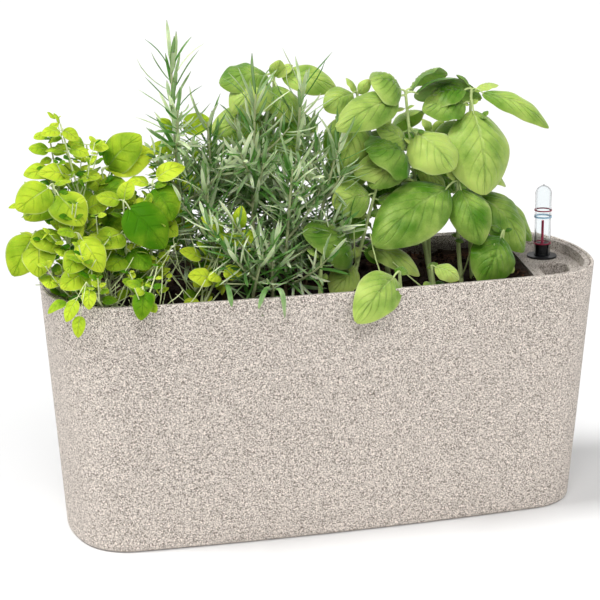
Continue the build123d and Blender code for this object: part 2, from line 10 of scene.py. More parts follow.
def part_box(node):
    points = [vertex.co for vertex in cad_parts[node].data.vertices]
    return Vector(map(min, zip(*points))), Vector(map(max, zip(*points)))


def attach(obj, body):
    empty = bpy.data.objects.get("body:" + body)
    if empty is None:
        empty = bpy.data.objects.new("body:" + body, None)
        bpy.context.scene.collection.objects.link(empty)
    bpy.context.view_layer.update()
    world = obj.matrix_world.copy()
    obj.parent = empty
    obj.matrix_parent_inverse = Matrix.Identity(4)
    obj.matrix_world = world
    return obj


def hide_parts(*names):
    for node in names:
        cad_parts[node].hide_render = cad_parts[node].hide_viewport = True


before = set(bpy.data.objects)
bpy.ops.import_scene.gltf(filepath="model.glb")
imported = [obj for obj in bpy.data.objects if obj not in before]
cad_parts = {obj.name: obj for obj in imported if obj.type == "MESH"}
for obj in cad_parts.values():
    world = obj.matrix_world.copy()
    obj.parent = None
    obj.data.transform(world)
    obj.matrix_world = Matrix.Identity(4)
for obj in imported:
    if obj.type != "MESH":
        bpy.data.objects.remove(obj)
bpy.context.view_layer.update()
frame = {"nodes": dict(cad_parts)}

bl_info = {
    "name": "Herb Planter",
    "version": (1, 0, 0),
    "blender": (4, 5, 0),
    "location": "View3D > Sidebar > Planter",
    "description": "Builds the surfaces, herbs and studio of a self-watering herb planter",
    "category": "Object",
}

MM = 0.001
SOIL_LOW, SOIL_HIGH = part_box("potting_soil")
PLANTER_LOW, PLANTER_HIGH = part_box("outer_planter")
WINDOW_LOW, WINDOW_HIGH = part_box("indicator_window")
SHELL_HALF = (0.2, 0.075)  # half-length and half-width of the planter at its rim
ASIDE = (0.31, 0.95, 0.05)  # a direction that no stem or twig follows, to set others square to
LEAF, STEM = 0, 1  # places of a herb's two materials
FRESH = (1.0, 1.0)  # a stem that is green from foot to tip
TWIG_POINTS = 8
SOIL_GAP = 0.3 * MM  # to the liner's wall
SOIL_SKIRT = 40 * MM  # depth of the soil bed's side
SOIL_WAVES = [(0.05, 2.2 * MM), (0.016, 1.6 * MM), (0.006, 1.0 * MM)]  # wave length and height
CRUMB_COUNT = 2600
CRUMB_FIELD = np.array([0.192, 0.067])  # half-length and half-width of the strewn soil
CRUMB_SIZES, CRUMB_SHARES = (1.6, 2.4, 4.0), (0.6, 0.3, 0.1)  # millimetres, and how many have them

# A shoot is its root, as shares of the planter's half-length and half-width, then its lean along X and Y
# and its height in millimetres, and its leaves. A leaf is its place on the stem, as a share of the height,
# then its tip from there along X, Y and Z, its width and its tone, from deep (0) to pale (1).
BASIL = {
    "basil_front": (0.525, -0.07, -6, -5, 78, [
        (1.0, -72, -32, -32, 44, 0.28), (1.0, 7, -30, -40, 30, 0.3), (0.97, 9, -4, 14, 9, 0.9),
        (0.97, -9, 4, 13, 9, 0.9), (0.86, -10, 38, 8, 30, 0.4)]),
    "basil_tall_right": (0.588, 0.08, -3, 2, 141, [
        (0.95, 1, -36, -63, 48, 0.62), (1.0, -33, 6, -7, 30, 0.32), (1.0, 51, -27, -24, 17, 0.55),
        (0.98, 21, 2, 6, 12, 0.95), (1.0, -8, 8, 10, 10, 0.35), (0.93, -37, -4, -3, 30, 0.3),
        (0.5, 36, -28, -44, 36, 0.36), (0.5, 46, -12, -43, 24, 0.5), (0.8, -8, 44, -12, 34, 0.4),
        (0.66, 20, 40, -6, 34, 0.5), (0.62, -34, 30, -8, 30, 0.35), (0.42, 34, -12, -20, 20, 0.45),
        (0.6, 32, 2, -15, 18, 0.6)]),
    "basil_tall_middle": (0.42, 0.0, -19, 8, 141, [
        (0.98, -58, -26, -13, 28, 0.5), (1.0, -27, -6, 12, 38, 0.45), (0.99, 60, 16, -5, 30, 0.25),
        (1.0, 40, 24, 8, 26, 0.42), (0.82, 23, -34, -24, 38, 0.7), (0.66, -38, -26, 12, 42, 0.2),
        (0.72, -27, -8, 17, 24, 0.5), (0.6, -48, -18, 8, 28, 0.55), (0.64, 22, -13, -19, 16, 0.6),
        (0.7, -36, -23, -21, 24, 0.4), (0.75, -20, 42, -10, 34, 0.45), (0.52, 12, 44, -12, 34, 0.3),
        (0.88, 12, 38, -16, 30, 0.6), (0.5, -22, -18, -12, 20, 0.35)]),
    "basil_tall_left": (0.285, 0.2, -25, 3, 141, [
        (1.0, -28, -12, -7, 22, 0.6), (0.92, -20, -24, -40, 38, 0.5), (0.97, 20, -16, -17, 22, 0.5),
        (0.85, 6, 40, -6, 32, 0.45), (0.75, -28, -17, -36, 32, 0.4), (0.7, 14, -18, -16, 20, 0.3),
        (0.98, -6, 5, 13, 10, 0.9), (0.98, 8, -3, 12, 9, 0.9), (0.55, 18, -14, -8, 28, 0.3),
        (0.46, 30, -10, -2, 26, 0.25)]),
    "basil_low_middle": (0.1, -0.11, 18, -2, 76, [
        (0.95, -34, -16, 0, 28, 0.55), (0.32, -44, -30, 32, 38, 0.22), (0.4, 19, -14, 4, 18, 0.2),
        (0.3, -23, -18, -16, 22, 0.7), (0.45, 35, -30, -14, 19, 0.6), (0.97, 8, -2, 12, 9, 0.8),
        (0.97, -6, 6, 13, 9, 0.8), (0.9, -8, 36, 4, 30, 0.4), (1.0, 34, 10, 3, 18, 0.5),
        (0.9, 25, -2, -4, 18, 0.4), (0.75, -28, -4, -6, 26, 0.3)]),
    "basil_sprout_left": (-0.05, -0.48, 1, 0, 36, [
        (1.0, 9, -4, 7, 11, 0.4), (1.0, -10, 2, 6, 11, 0.4), (0.9, 2, 11, 5, 10, 0.4)]),
    "basil_sprout_front": (0.225, -0.7, -4, -4, 27, [
        (1.0, -41, -31, -20, 31, 0.58), (0.9, 6, 11, 3, 10, 0.4)]),
    "basil_low_right": (0.64, -0.27, 3, 0, 42, [
        (1.0, -25, -26, -30, 34, 0.28), (0.9, 6, 11, 4, 10, 0.4)]),
    "basil_sprout_right": (0.37, -0.54, -5, -2, 26, [
        (1.0, 17, -12, -8, 15, 0.85), (0.85, 4, 9, 4, 8, 0.4)]),
    "basil_back_left": (-0.1, 0.56, -2, 3, 152, [
        (1.0, -41, -11, -2, 30, 0.3), (1.0, 45, -9, -11, 24, 0.6), (0.97, -34, -23, -16, 32, 0.6),
        (0.97, 6, -21, -26, 28, 0.5), (0.98, 3, -6, 14, 12, 0.9), (0.98, 12, -4, 11, 12, 0.9),
        (0.8, -48, -21, -5, 30, 0.6), (0.76, 29, -15, 2, 24, 0.5), (0.72, 13, -23, -16, 26, 0.45),
        (0.5, -26, -21, 1, 28, 0.5), (0.9, -10, 32, -10, 32, 0.5), (0.66, 25, 30, -10, 34, 0.4),
        (0.6, -32, 26, -8, 32, 0.4), (0.45, 0, 32, -12, 30, 0.35)]),
    "basil_back_right": (0.48, 0.56, 4, 6, 104, [
        (1.0, 30, 22, -8, 32, 0.5), (1.0, -34, 14, -6, 32, 0.5), (0.97, 6, -5, 12, 9, 0.9),
        (0.97, -6, 6, 12, 9, 0.9), (0.76, 8, 32, -14, 34, 0.4), (0.72, 34, -4, -10, 26, 0.4),
        (0.52, -26, 26, -10, 30, 0.35), (0.9, 18, -18, -10, 20, 0.5)]),
}
OREGANO = {
    "oregano_tall_front": (-0.75, -0.27, -33, 8, 134, [
        (1.0, -4, -3, 8, 7, 0.8), (0.98, 10, -5, -8, 10, 0.7), (0.97, -14, -5, -2, 10, 0.7),
        (0.88, 14, -8, -4, 10, 0.6), (0.86, -15, 4, 2, 11, 0.6), (0.74, -24, -7, 5, 15, 0.65),
        (0.72, 16, -9, 3, 14, 0.5), (0.58, -20, -19, -8, 20, 0.6), (0.56, 16, -6, 8, 16, 0.5),
        (0.45, 8, -22, 2, 18, 0.75), (0.45, -22, -8, 2, 18, 0.5)]),
    "oregano_tall_back": (-0.84, -0.05, -22, 0, 126, [
        (1.0, -11, -4, 0, 9, 0.7), (1.0, 6, -4, 8, 8, 0.8), (0.92, -16, -4, 2, 11, 0.65),
        (0.92, 10, -10, 0, 10, 0.6), (0.8, -22, -6, -1, 16, 0.75), (0.8, 16, -6, 0, 12, 0.45),
        (0.66, -26, -14, -10, 22, 0.45), (0.5, -16, -4, 16, 16, 0.5), (0.6, 8, 20, -2, 16, 0.5),
        (0.45, -10, 18, -4, 16, 0.5)]),
    "oregano_middle": (-0.75, 0.16, -14, -8, 116, [
        (1.0, -13, -6, 4, 12, 0.65), (1.0, 15, -4, -1, 13, 0.7), (0.9, -10, -3, 5, 9, 0.5),
        (0.72, -14, -20, 2, 20, 0.35), (0.72, 22, -22, 3, 24, 0.35), (0.5, -6, -28, 4, 24, 0.55),
        (0.5, 16, -26, 6, 24, 0.45), (0.8, 6, 20, 0, 16, 0.5), (0.55, -12, 20, -4, 18, 0.4),
        (0.4, -19, -25, 4, 22, 0.5)]),
    "oregano_upright": (-0.67, 0.2, -20, -9, 98, [
        (0.98, 26, -8, 26, 28, 0.4), (1.0, 36, -6, 10, 25, 0.95), (0.85, -16, -3, 12, 14, 0.5),
        (0.8, 17, -18, 0, 18, 0.5), (0.7, 10, 22, -6, 18, 0.4), (0.55, -10, 24, -6, 20, 0.4),
        (0.6, -14, -17, 15, 18, 0.45)]),
    "oregano_right": (-0.62, -0.2, 2, 3, 92, [
        (0.98, 12, -18, -22, 26, 0.3), (1.0, 22, -2, 10, 18, 0.95), (0.97, -18, 2, 2, 14, 0.8),
        (0.85, -14, -8, -4, 13, 0.9), (0.7, 16, -14, -8, 18, 0.5), (0.6, -18, -12, 4, 17, 0.5),
        (0.8, 6, 20, 0, 16, 0.5)]),
    "oregano_broad": (-0.7, -0.4, -6, -4, 84, [
        (1.0, 24, -12, -33, 32, 0.08), (1.0, -18, 0, 4, 14, 0.6), (0.98, 6, 8, 14, 13, 0.7),
        (0.75, -20, -15, -6, 20, 0.5), (0.6, 14, -16, -10, 18, 0.15), (0.55, -14, -18, -6, 18, 0.35)]),
    "oregano_left": (-0.85, -0.4, -22, -2, 98, [
        (1.0, -24, -8, -16, 24, 0.6), (0.96, 14, -18, -22, 26, 0.6), (0.98, 12, 6, 3, 11, 0.6),
        (0.8, 14, -12, -14, 17, 0.75), (0.85, -24, 6, -8, 20, 0.45), (0.6, -24, -8, 3, 19, 0.6),
        (0.55, -8, -18, 0, 15, 0.6), (0.9, -32, -2, -4, 5, 0.7)]),
    "oregano_end": (-0.9, -0.2, -24, -9, 65, [
        (1.0, -18, -10, -27, 25, 0.55), (0.92, -1, -21, -20, 24, 0.6), (0.95, -20, 6, -10, 18, 0.7),
        (0.9, 14, -6, 5, 12, 0.55), (0.9, -10, 16, 2, 15, 0.5), (0.5, -8, -28, 0, 18, 0.8)]),
    "oregano_low": (-0.8, -0.55, -19, -5, 67, [
        (1.0, 14, -18, -22, 20, 0.75), (1.0, -14, -5, 3, 11, 0.6), (0.8, -14, -16, -8, 17, 0.5),
        (0.75, 4, -17, -16, 17, 0.35), (0.6, -20, -14, -6, 18, 0.7)]),
    "oregano_hanging_left": (-0.78, -0.62, -22, -26, 40, [
        (1.0, -9, -10, -34, 9, 0.75), (1.0, -16, -8, -23, 10, 0.65), (0.9, -2, -8, -13, 10, 0.75),
        (0.8, -31, -4, -10, 9, 0.6)]),
    "oregano_hanging_front": (-0.66, -0.7, -10, -26, 36, [
        (1.0, -2, -10, -20, 14, 0.3), (0.9, 3, -8, -9, 10, 0.35), (0.95, -11, 1, 5, 9, 0.5)]),
    "oregano_back": (-0.58, 0.32, 19, -2, 122, [
        (1.0, 23, -8, 4, 18, 0.6), (0.95, -12, -6, 14, 9, 0.6), (0.9, -21, -8, -3, 10, 0.7),
        (0.85, -8, -8, 8, 10, 0.75), (0.7, 24, -18, -6, 18, 0.7), (0.66, -8, -18, 12, 17, 0.9),
        (0.5, 16, -23, -4, 18, 0.6), (0.45, 8, -21, 18, 18, 0.8), (0.8, -6, 18, 2, 14, 0.5)]),
    "oregano_creeping": (-0.52, -0.2, 38, -12, 56, [
        (1.0, 9, -6, -6, 14, 0.6), (1.0, -6, -8, -9, 12, 0.7), (0.85, -19, -4, 21, 13, 0.6),
        (0.9, -13, -6, 5, 11, 0.75), (1.0, 2, -2, 18, 11, 0.6), (0.6, -14, -6, 18, 9, 0.4),
        (0.6, -26, -6, 12, 11, 0.8)]),
    "oregano_yellow": (-0.48, -0.44, 14, -8, 32, [
        (0.8, -20, -6, 8, 15, 1.0), (1.0, 14, -5, -1, 13, 1.0), (0.95, -8, -9, -2, 9, 0.9),
        (0.7, 2, 12, 4, 10, 0.7)]),
}
# A rosemary shoot is its root, lean, height and the bearing of its first pair of needles in degrees
ROSEMARY = {
    "rosemary_tall": (-0.46, 0.07, -12, 0, 172, 20),
    "rosemary_left": (-0.33, 0.11, -12, 4, 126, 65),
    "rosemary_middle": (-0.24, 0.0, 2, 0, 146, 40),
    "rosemary_right": (-0.09, 0.07, 6, 0, 148, 10),
    "rosemary_leaning": (-0.08, -0.11, 26, -6, 112, 55),
    "rosemary_front": (-0.16, -0.3, 4, -8, 98, 30),
    "rosemary_low_right": (-0.22, -0.48, -2, -8, 46, 75),
    "rosemary_low_left": (-0.36, -0.11, -14, -6, 92, 15),
    "rosemary_back": (-0.15, 0.33, -4, 10, 124, 50),
    "rosemary_low_front": (-0.31, -0.53, 8, -9, 44, 25),
}

# Needles that hang over the rim: base and tip in millimetres, and the arch between them
OVERHANG = {
    "rosemary_low_front": [(-82, -62, 189, -84, -84, 179, 0.1)],
    "rosemary_low_right": [(-53, -62, 185, -66, -84, 176, 0.2), (-50, -62, 182, -48, -84, 168, 0.5)],
}
NEEDLE_STYLE = {
    "arch": 0.0, "curl": 0.0, "cup": 0.5, "gutter": 0.0, "wave": 0.0, "waves": 1.0, "phase": 0.0,
    "ribs": 1.0, "slant": 0.0, "swell": 0.0, "crease": 0.06, "sway": 0.0, "thick": 0.0007,
}


def tint(code):
    """Linear RGBA of a six-digit sRGB colour code."""
    level = np.array([int(code[i:i + 2], 16) for i in (0, 2, 4)]) / 255
    linear = np.where(level <= 0.04045, level / 12.92, ((level + 0.055) / 1.055) ** 2.4)
    return (*map(float, linear), 1.0)


def colour(name, code, description):
    """A colour setting whose default is an sRGB code."""
    return bpy.props.FloatVectorProperty(
        name=name, description=description, subtype="COLOR", size=4, min=0, max=1, default=tint(code))


def length(name, millimetres, description):
    """A length setting whose default is given in millimetres."""
    return bpy.props.FloatProperty(
        name=name, description=description, unit="LENGTH", min=0, precision=5, default=millimetres * MM)


def angle(name, degrees, description):
    """An angle setting whose default is given in degrees."""
    return bpy.props.FloatProperty(
        name=name, description=description, subtype="ANGLE", default=math.radians(degrees))


def number(name, default, description):
    """A plain number setting."""
    return bpy.props.FloatProperty(name=name, description=description, default=default)


def faded(tone, share):
    """A colour made darker or lighter by a share."""
    return [min(level * share, 1.0) for level in tone[:3]] + [1.0]


class PlanterShape(bpy.types.PropertyGroup):
    """Sizes of the outer planter."""
    base_inset: length("Base inset", 12.0, "How far each wall draws in from rim to base")
    end_bow: length("End bow", 20.0, "Rise of the curved ends")
    side_bow: length("Side bow", 6.0, "Rise of the curved long sides")
    corner_radius: length("Corner radius", 50.0, "Radius of the plan's corners at the rim")
    outer_wall: length("Outer wall", 3.4, "Thickness of the outer wall")
    outer_floor: length("Outer floor", 3.6, "Thickness of the outer floor")
    foot_radius: length("Foot radius", 3.0, "Rounding where wall and base meet")
    rim_width: length("Rim width", 2.0, "Width of the rim outside the liner's lip")
    rim_edge: length("Rim edge", 0.7, "Rounding of the rim")
    ledge_depth: length("Ledge depth", 6.0, "Depth of the step that carries the liner")
    liner_inner: length("Liner inner", 6.2, "From the outer face to the liner's inner face")
    bulkhead_slope: number("Bulkhead slope", 0.157, "Lean of the bulkhead to the right per unit of depth")
    heap_length: length("Heap length", 34.0, "Stretch over which the soil rises to the bulkhead")
    heap_height: length("Heap height", 11.0, "Rise of the soil at the bulkhead")
    bank_height: length("Bank height", 6.0, "Rise of the soil at the back wall")


class PlanterFinish(bpy.types.PropertyGroup):
    """Colours of the planter, the soil and the indicator."""
    pale_grain: colour("Pale grain", "FFF4EA", "Pale grains in the speckled plastic")
    dark_grain: colour("Dark grain", "544A3F", "Dark grains in the speckled plastic")
    grain: length("Grain", 0.44, "Size of one grain")
    soil: colour("Soil", "2B1E16", "Moist potting soil")
    soil_bark: colour("Bark", "5A3B28", "Bark and fibre in the soil")
    black: colour("Black plastic", "17171A", "Indicator base and float tube")
    red: colour("Red plastic", "97203F", "Pointer and the outer marker rings")
    blue: colour("Blue plastic", "BFE0F4", "Middle marker ring")
    clear: colour("Clear plastic", "F7FAFB", "Indicator window")
    foam: colour("Float", "E9E4D8", "Float of the indicator")


class HerbFinish(bpy.types.PropertyGroup):
    """Colours of the herbs."""
    basil_deep: colour("Basil deep", "3E6E08", "Older basil leaves")
    basil_pale: colour("Basil pale", "B5CD68", "Young or sunlit basil leaves")
    basil_vein: colour("Basil vein", "C2D48E", "Veins and stems of basil")
    oregano_deep: colour("Oregano deep", "3F7404", "Older oregano leaves")
    oregano_pale: colour("Oregano pale", "C0DA38", "Young oregano leaves")
    oregano_vein: colour("Oregano vein", "D6E2AA", "Veins and stems of oregano")
    rosemary_top: colour("Rosemary top", "4D7A34", "Upper side of the needles")
    rosemary_under: colour("Rosemary under", "D8E8BA", "Underside of the needles")
    rosemary_stem: colour("Rosemary stem", "A9B184", "Green stems of rosemary")
    rosemary_wood: colour("Rosemary wood", "6B5540", "Woody foot of rosemary stems")
    seed: bpy.props.IntProperty(name="Seed", description="Seed of the small variations", default=7)


class StudioSetup(bpy.types.PropertyGroup):
    """Camera and light."""
    azimuth: angle("Azimuth", -14.59, "Turn of the camera about Z")
    elevation: angle("Elevation", 15.72, "Height of the camera above level")
    roll: angle("Roll", -0.38, "Turn about the line of sight")
    distance: length("Distance", 1273.8, "Camera to its target")
    target: bpy.props.FloatVectorProperty(
        name="Target", description="Point the camera looks at", subtype="TRANSLATION", unit="LENGTH",
        default=(-0.01553, 0.0, 0.15584))
    lens: number("Lens", 106.54, "Focal length in millimetres")
    world_light: number("World light", 0.28, "Strength of the even light")
    key_light: number("Key light", 2.2, "Strength of the lamp at the left")
    fill_light: number("Fill light", 0.7, "Strength of the lamp at the right")
    front_light: number("Front light", 1.5, "Strength of the lamp in front")


class Value:
    """A shader value; arithmetic on it adds Math nodes."""

    def __init__(self, nodes, socket):
        self.nodes = nodes
        self.socket = socket

    def math(self, operation, *others):
        return self.nodes.node("ShaderNodeMath", {"operation": operation}, [self, *others])

    def __add__(self, other):
        return self.math("ADD", other)

    def __sub__(self, other):
        return self.math("SUBTRACT", other)

    def __rsub__(self, other):
        return self.nodes.node("ShaderNodeMath", {"operation": "SUBTRACT"}, [other, self])

    def __mul__(self, other):
        return self.math("MULTIPLY", other)

    __radd__ = __add__
    __rmul__ = __mul__

    def bump(self, low, high):
        """Rise smoothly from 0 at low to 1 at high."""
        return self.nodes.node(
            "ShaderNodeMapRange", {"interpolation_type": "SMOOTHSTEP"}, {0: self, 1: low, 2: high})


class Nodes:
    """Adds nodes to one node tree."""

    def __init__(self, tree):
        self.tree = tree

    def node(self, kind, settings=None, inputs=(), output=0):
        """Add a node, set its settings, then its sockets by index or name, and give one output."""
        made = self.tree.nodes.new(kind)
        for key, value in (settings or {}).items():
            setattr(made, key, value)
        for key, value in (inputs.items() if isinstance(inputs, dict) else enumerate(inputs)):
            self.put(made.inputs[key], value)
        return Value(self, made.outputs[output])

    def put(self, socket, value):
        """Link a value to a socket, or set it."""
        if isinstance(value, Value):
            self.tree.links.new(value.socket, socket)
        else:
            socket.default_value = value

    def seen(self):
        """One for a ray from the camera, off gloss or through something clear, and nought for others."""
        camera, gloss, clear = (
            self.node("ShaderNodeLightPath", output=f"Is {kind} Ray")
            for kind in ("Camera", "Glossy", "Transmission"))
        return camera.math("MAXIMUM", gloss).math("MAXIMUM", clear)


class Finish(Nodes):
    """A procedural material around one Principled shader."""

    def __init__(self, name, **constants):
        self.material = bpy.data.materials.new(name)
        self.material.use_nodes = True
        super().__init__(self.material.node_tree)
        self.shader = self.tree.nodes["Principled BSDF"]
        for socket, value in constants.items():
            self.shader.inputs[socket.replace("_", " ")].default_value = value

    def mix(self, factor, low, high):
        """Blend two colours."""
        return self.node("ShaderNodeMix", {"data_type": "RGBA"}, {0: factor, 6: low, 7: high}, 2)

    def place(self):
        """Object coordinates."""
        return self.node("ShaderNodeTexCoord", output=3)

    def chart(self):
        """The mesh's own UV map."""
        return self.node("ShaderNodeUVMap", {"uv_map": "UVMap"})

    def part(self, vector, axis):
        """One coordinate of a vector: 0, 1 or 2 for X, Y or Z."""
        return self.node("ShaderNodeSeparateXYZ", None, [vector], axis)

    def noise(self, scale, detail=2.0, roughness=0.5):
        """Fractal noise on Object coordinates."""
        return self.node("ShaderNodeTexNoise", None,
                         {"Vector": self.place(), "Scale": scale, "Detail": detail, "Roughness": roughness})

    def shades(self, size):
        """One random shade for each grain of a size in metres."""
        cells = self.node("ShaderNodeTexVoronoi", None, {"Vector": self.place(), "Scale": 1 / size}, 1)
        return self.node("ShaderNodeSeparateColor", None, [cells])

    def spots(self, size):
        """Distance from the middle of the nearest grain of a size in metres, as a share of it."""
        return self.node("ShaderNodeTexVoronoi", None, {"Vector": self.place(), "Scale": 1 / size})

    def attribute(self, name):
        """A value stored on the mesh."""
        return self.node("ShaderNodeAttribute", {"attribute_name": name}, (), 2)

    def feed(self, socket, value):
        """Link a value to the shader."""
        self.put(self.shader.inputs[socket], value)

    def relief(self, height, distance, strength=1.0):
        """Feed a height to the shader's normal."""
        self.feed("Normal", self.node("ShaderNodeBump", None,
                                      {"Height": height, "Distance": distance, "Strength": strength}))


def speckled_finish(name, look, depth, stain_and_shade=0.0):
    """Matte plastic of packed grains: small grains of random shade, larger pale ones and a few dark specks.

    The depth is a share of the shell's own colours; below one it darkens the plastic all over, and on the
    liner that is painted shade for the shade inside it. A second share darkens the walls that hold the
    moist soil, below the lip and up to the bulkhead, on faces that point inwards: partly soil staining,
    partly painted shade in that recess.
    """
    finish = Finish(name, IOR=1.46, Specular_IOR_Level=0.3)
    small = finish.shades(look.grain)
    middle = 1 - finish.spots(look.grain * 2.3)
    speck_size = look.grain * 1.9
    speck = finish.shades(speck_size).bump(0.86, 0.88) * (1 - finish.spots(speck_size).bump(0.4, 0.5))
    shade = 0.025 + small * 0.55 + middle * 0.45 - speck * 0.6
    base = finish.mix(shade.bump(0.1, 0.9), faded(look.dark_grain, depth), faded(look.pale_grain, depth))
    # Painted shade with soil staining: walls facing inwards below the lip, on the soil side of the bulkhead,
    # are darkened towards the soil colour.
    if stain_and_shade:
        place = finish.place()
        along, height = finish.part(place, 0), finish.part(place, 2)
        damp_and_shade = (1 - along.bump(SOIL_HIGH.x - 0.02, SOIL_HIGH.x)) * (
            1 - (height + 0.004 * small).bump(PLANTER_HIGH.z - 0.006, PLANTER_HIGH.z))
        normal = finish.node("ShaderNodeNewGeometry", output=1)
        outward = finish.node("ShaderNodeVectorMath", {"operation": "DOT_PRODUCT"}, [normal, place], 1)
        inside = 1 - (outward - finish.part(normal, 2) * height).bump(-0.01, 0.01)
        base = finish.mix(damp_and_shade * inside * stain_and_shade, base, look.soil)
    finish.feed("Base Color", base)
    finish.feed("Roughness", 0.6 + 0.2 * small)
    finish.relief(shade, 0.0003, 0.4)
    return finish.material


def soil_finish(name, look):
    """Moist crumbly soil with lighter fibres."""
    finish = Finish(name, Specular_IOR_Level=0.08)
    crumb = finish.noise(420.0, 4.0, 0.65)
    patch = finish.noise(70.0, 3.0)
    dark = faded(look.soil, 0.35)
    base = finish.mix(crumb.bump(0.35, 0.7), dark, look.soil)
    base = finish.mix(patch.bump(0.5, 0.7) * crumb.bump(0.42, 0.65) * 0.8, base, look.soil_bark)
    finish.feed("Base Color", base)
    finish.feed("Roughness", 0.75 + 0.25 * patch)
    finish.relief(crumb, 0.0012, 0.9)
    return finish.material


def moulded_finish(name, ground, roughness, **constants):
    """Moulded plastic with faint clouding and a fine surface grain."""
    finish = Finish(name, **constants)
    cloud = finish.noise(120.0, 3.0)
    fine = finish.noise(2500.0, 2.0)
    finish.feed("Base Color", finish.mix(cloud.bump(0.3, 0.8), faded(ground, 0.8), ground))
    finish.feed("Roughness", roughness + 0.12 * cloud)
    finish.relief(fine, 0.0001, 0.15)
    return finish.material


def clear_finish(name, ground):
    """Clear moulded plastic with a painted grey reflection where its walls are seen edge on."""
    finish = Finish(name, IOR=1.12, Transmission_Weight=1.0)
    cloud = finish.noise(220.0, 2.0)
    painted_edge_reflection = finish.node("ShaderNodeLayerWeight", None, {"Blend": 0.5}, 1)
    # Painted reflection: walls seen edge on turn grey, standing in for a darker surround reflected in them.
    finish.feed("Base Color", finish.mix(painted_edge_reflection.bump(0.35, 0.9), ground, faded(ground, 0.16)))
    finish.feed("Roughness", 0.01 + 0.02 * cloud)
    return finish.material


def leaf_finish(name, deep, pale, vein, ribs, slant, gloss, shine, sheen):
    """Leaf whose midrib darkens to the tip, with dark side veins, a painted highlight on its edge and a paler
    underside.

    The UV runs along the leaf in U and across it in V. A side vein lies where ribs * (U - slant * side)
    passes a whole number, with side the distance from the midrib.
    """
    finish = Finish(name, IOR=1.42, Specular_IOR_Level=shine, Subsurface_Weight=0.25,
                    Subsurface_Scale=0.003, Subsurface_Radius=(0.45, 1.0, 0.15), Sheen_Weight=sheen,
                    Sheen_Roughness=0.35)
    along, across = (finish.part(finish.chart(), axis) for axis in (0, 1))
    side = (across - 0.5).math("ABSOLUTE") * 2
    midrib = 1 - side.bump(0.015, 0.07)
    sweep = ((along - side * slant) * ribs).math("FRACT")
    branch = (sweep - 0.5).math("ABSOLUTE").bump(0.36, 0.5) * (1 - side.bump(0.4, 0.9))
    veins = midrib.math("MAXIMUM", branch * 0.6)
    edge = side.bump(0.9, 1.0)
    cloud = finish.noise(60.0, 2.0)
    fine = finish.noise(900.0, 2.0)
    tone = finish.attribute("tone") + (cloud - 0.5) * 1.1 + (fine - 0.5) * 0.16 + (along - 0.5) * 0.2
    base = finish.mix(tone.bump(0.0, 1.0), deep, pale)
    base = finish.mix(branch * 0.22, base, faded(deep, 0.8))
    base = finish.mix(midrib * along.bump(0.3, 0.8) * 0.4, base, faded(deep, 0.7))
    light = tone.bump(0.1, 0.7)
    base = finish.mix(midrib * light * (1 - along.bump(0.15, 0.65)) * 0.4, base, vein)
    # Painted highlight: a thin band along the leaf's edge is lightened towards the vein colour.
    base = finish.mix(edge * light * 0.3, base, vein)
    under = finish.attribute("under")
    base = finish.mix(under * 0.4, base, vein)
    finish.feed("Base Color", base)
    finish.feed("Roughness", gloss + 0.25 * cloud + 0.2 * under)
    finish.relief((1 - veins) * 0.45 + 0.5 * cloud + 0.1 * fine, 0.0016, 0.7)
    return finish.material


def stem_finish(name, fresh, woody):
    """Stem that turns from woody at its foot to fresh at its top, with fine lengthwise streaks."""
    finish = Finish(name, Specular_IOR_Level=0.12)
    streak = finish.noise(700.0, 3.0)
    along = finish.part(finish.chart(), 0)
    base = finish.mix((along + (streak - 0.5) * 0.4).bump(0.1, 0.5), woody, fresh)
    finish.feed("Base Color", finish.mix(streak.bump(0.4, 0.8) * 0.35, base, faded(fresh, 0.6)))
    finish.feed("Roughness", 0.5 + 0.3 * streak)
    finish.relief(streak, 0.0004, 0.5)
    return finish.material


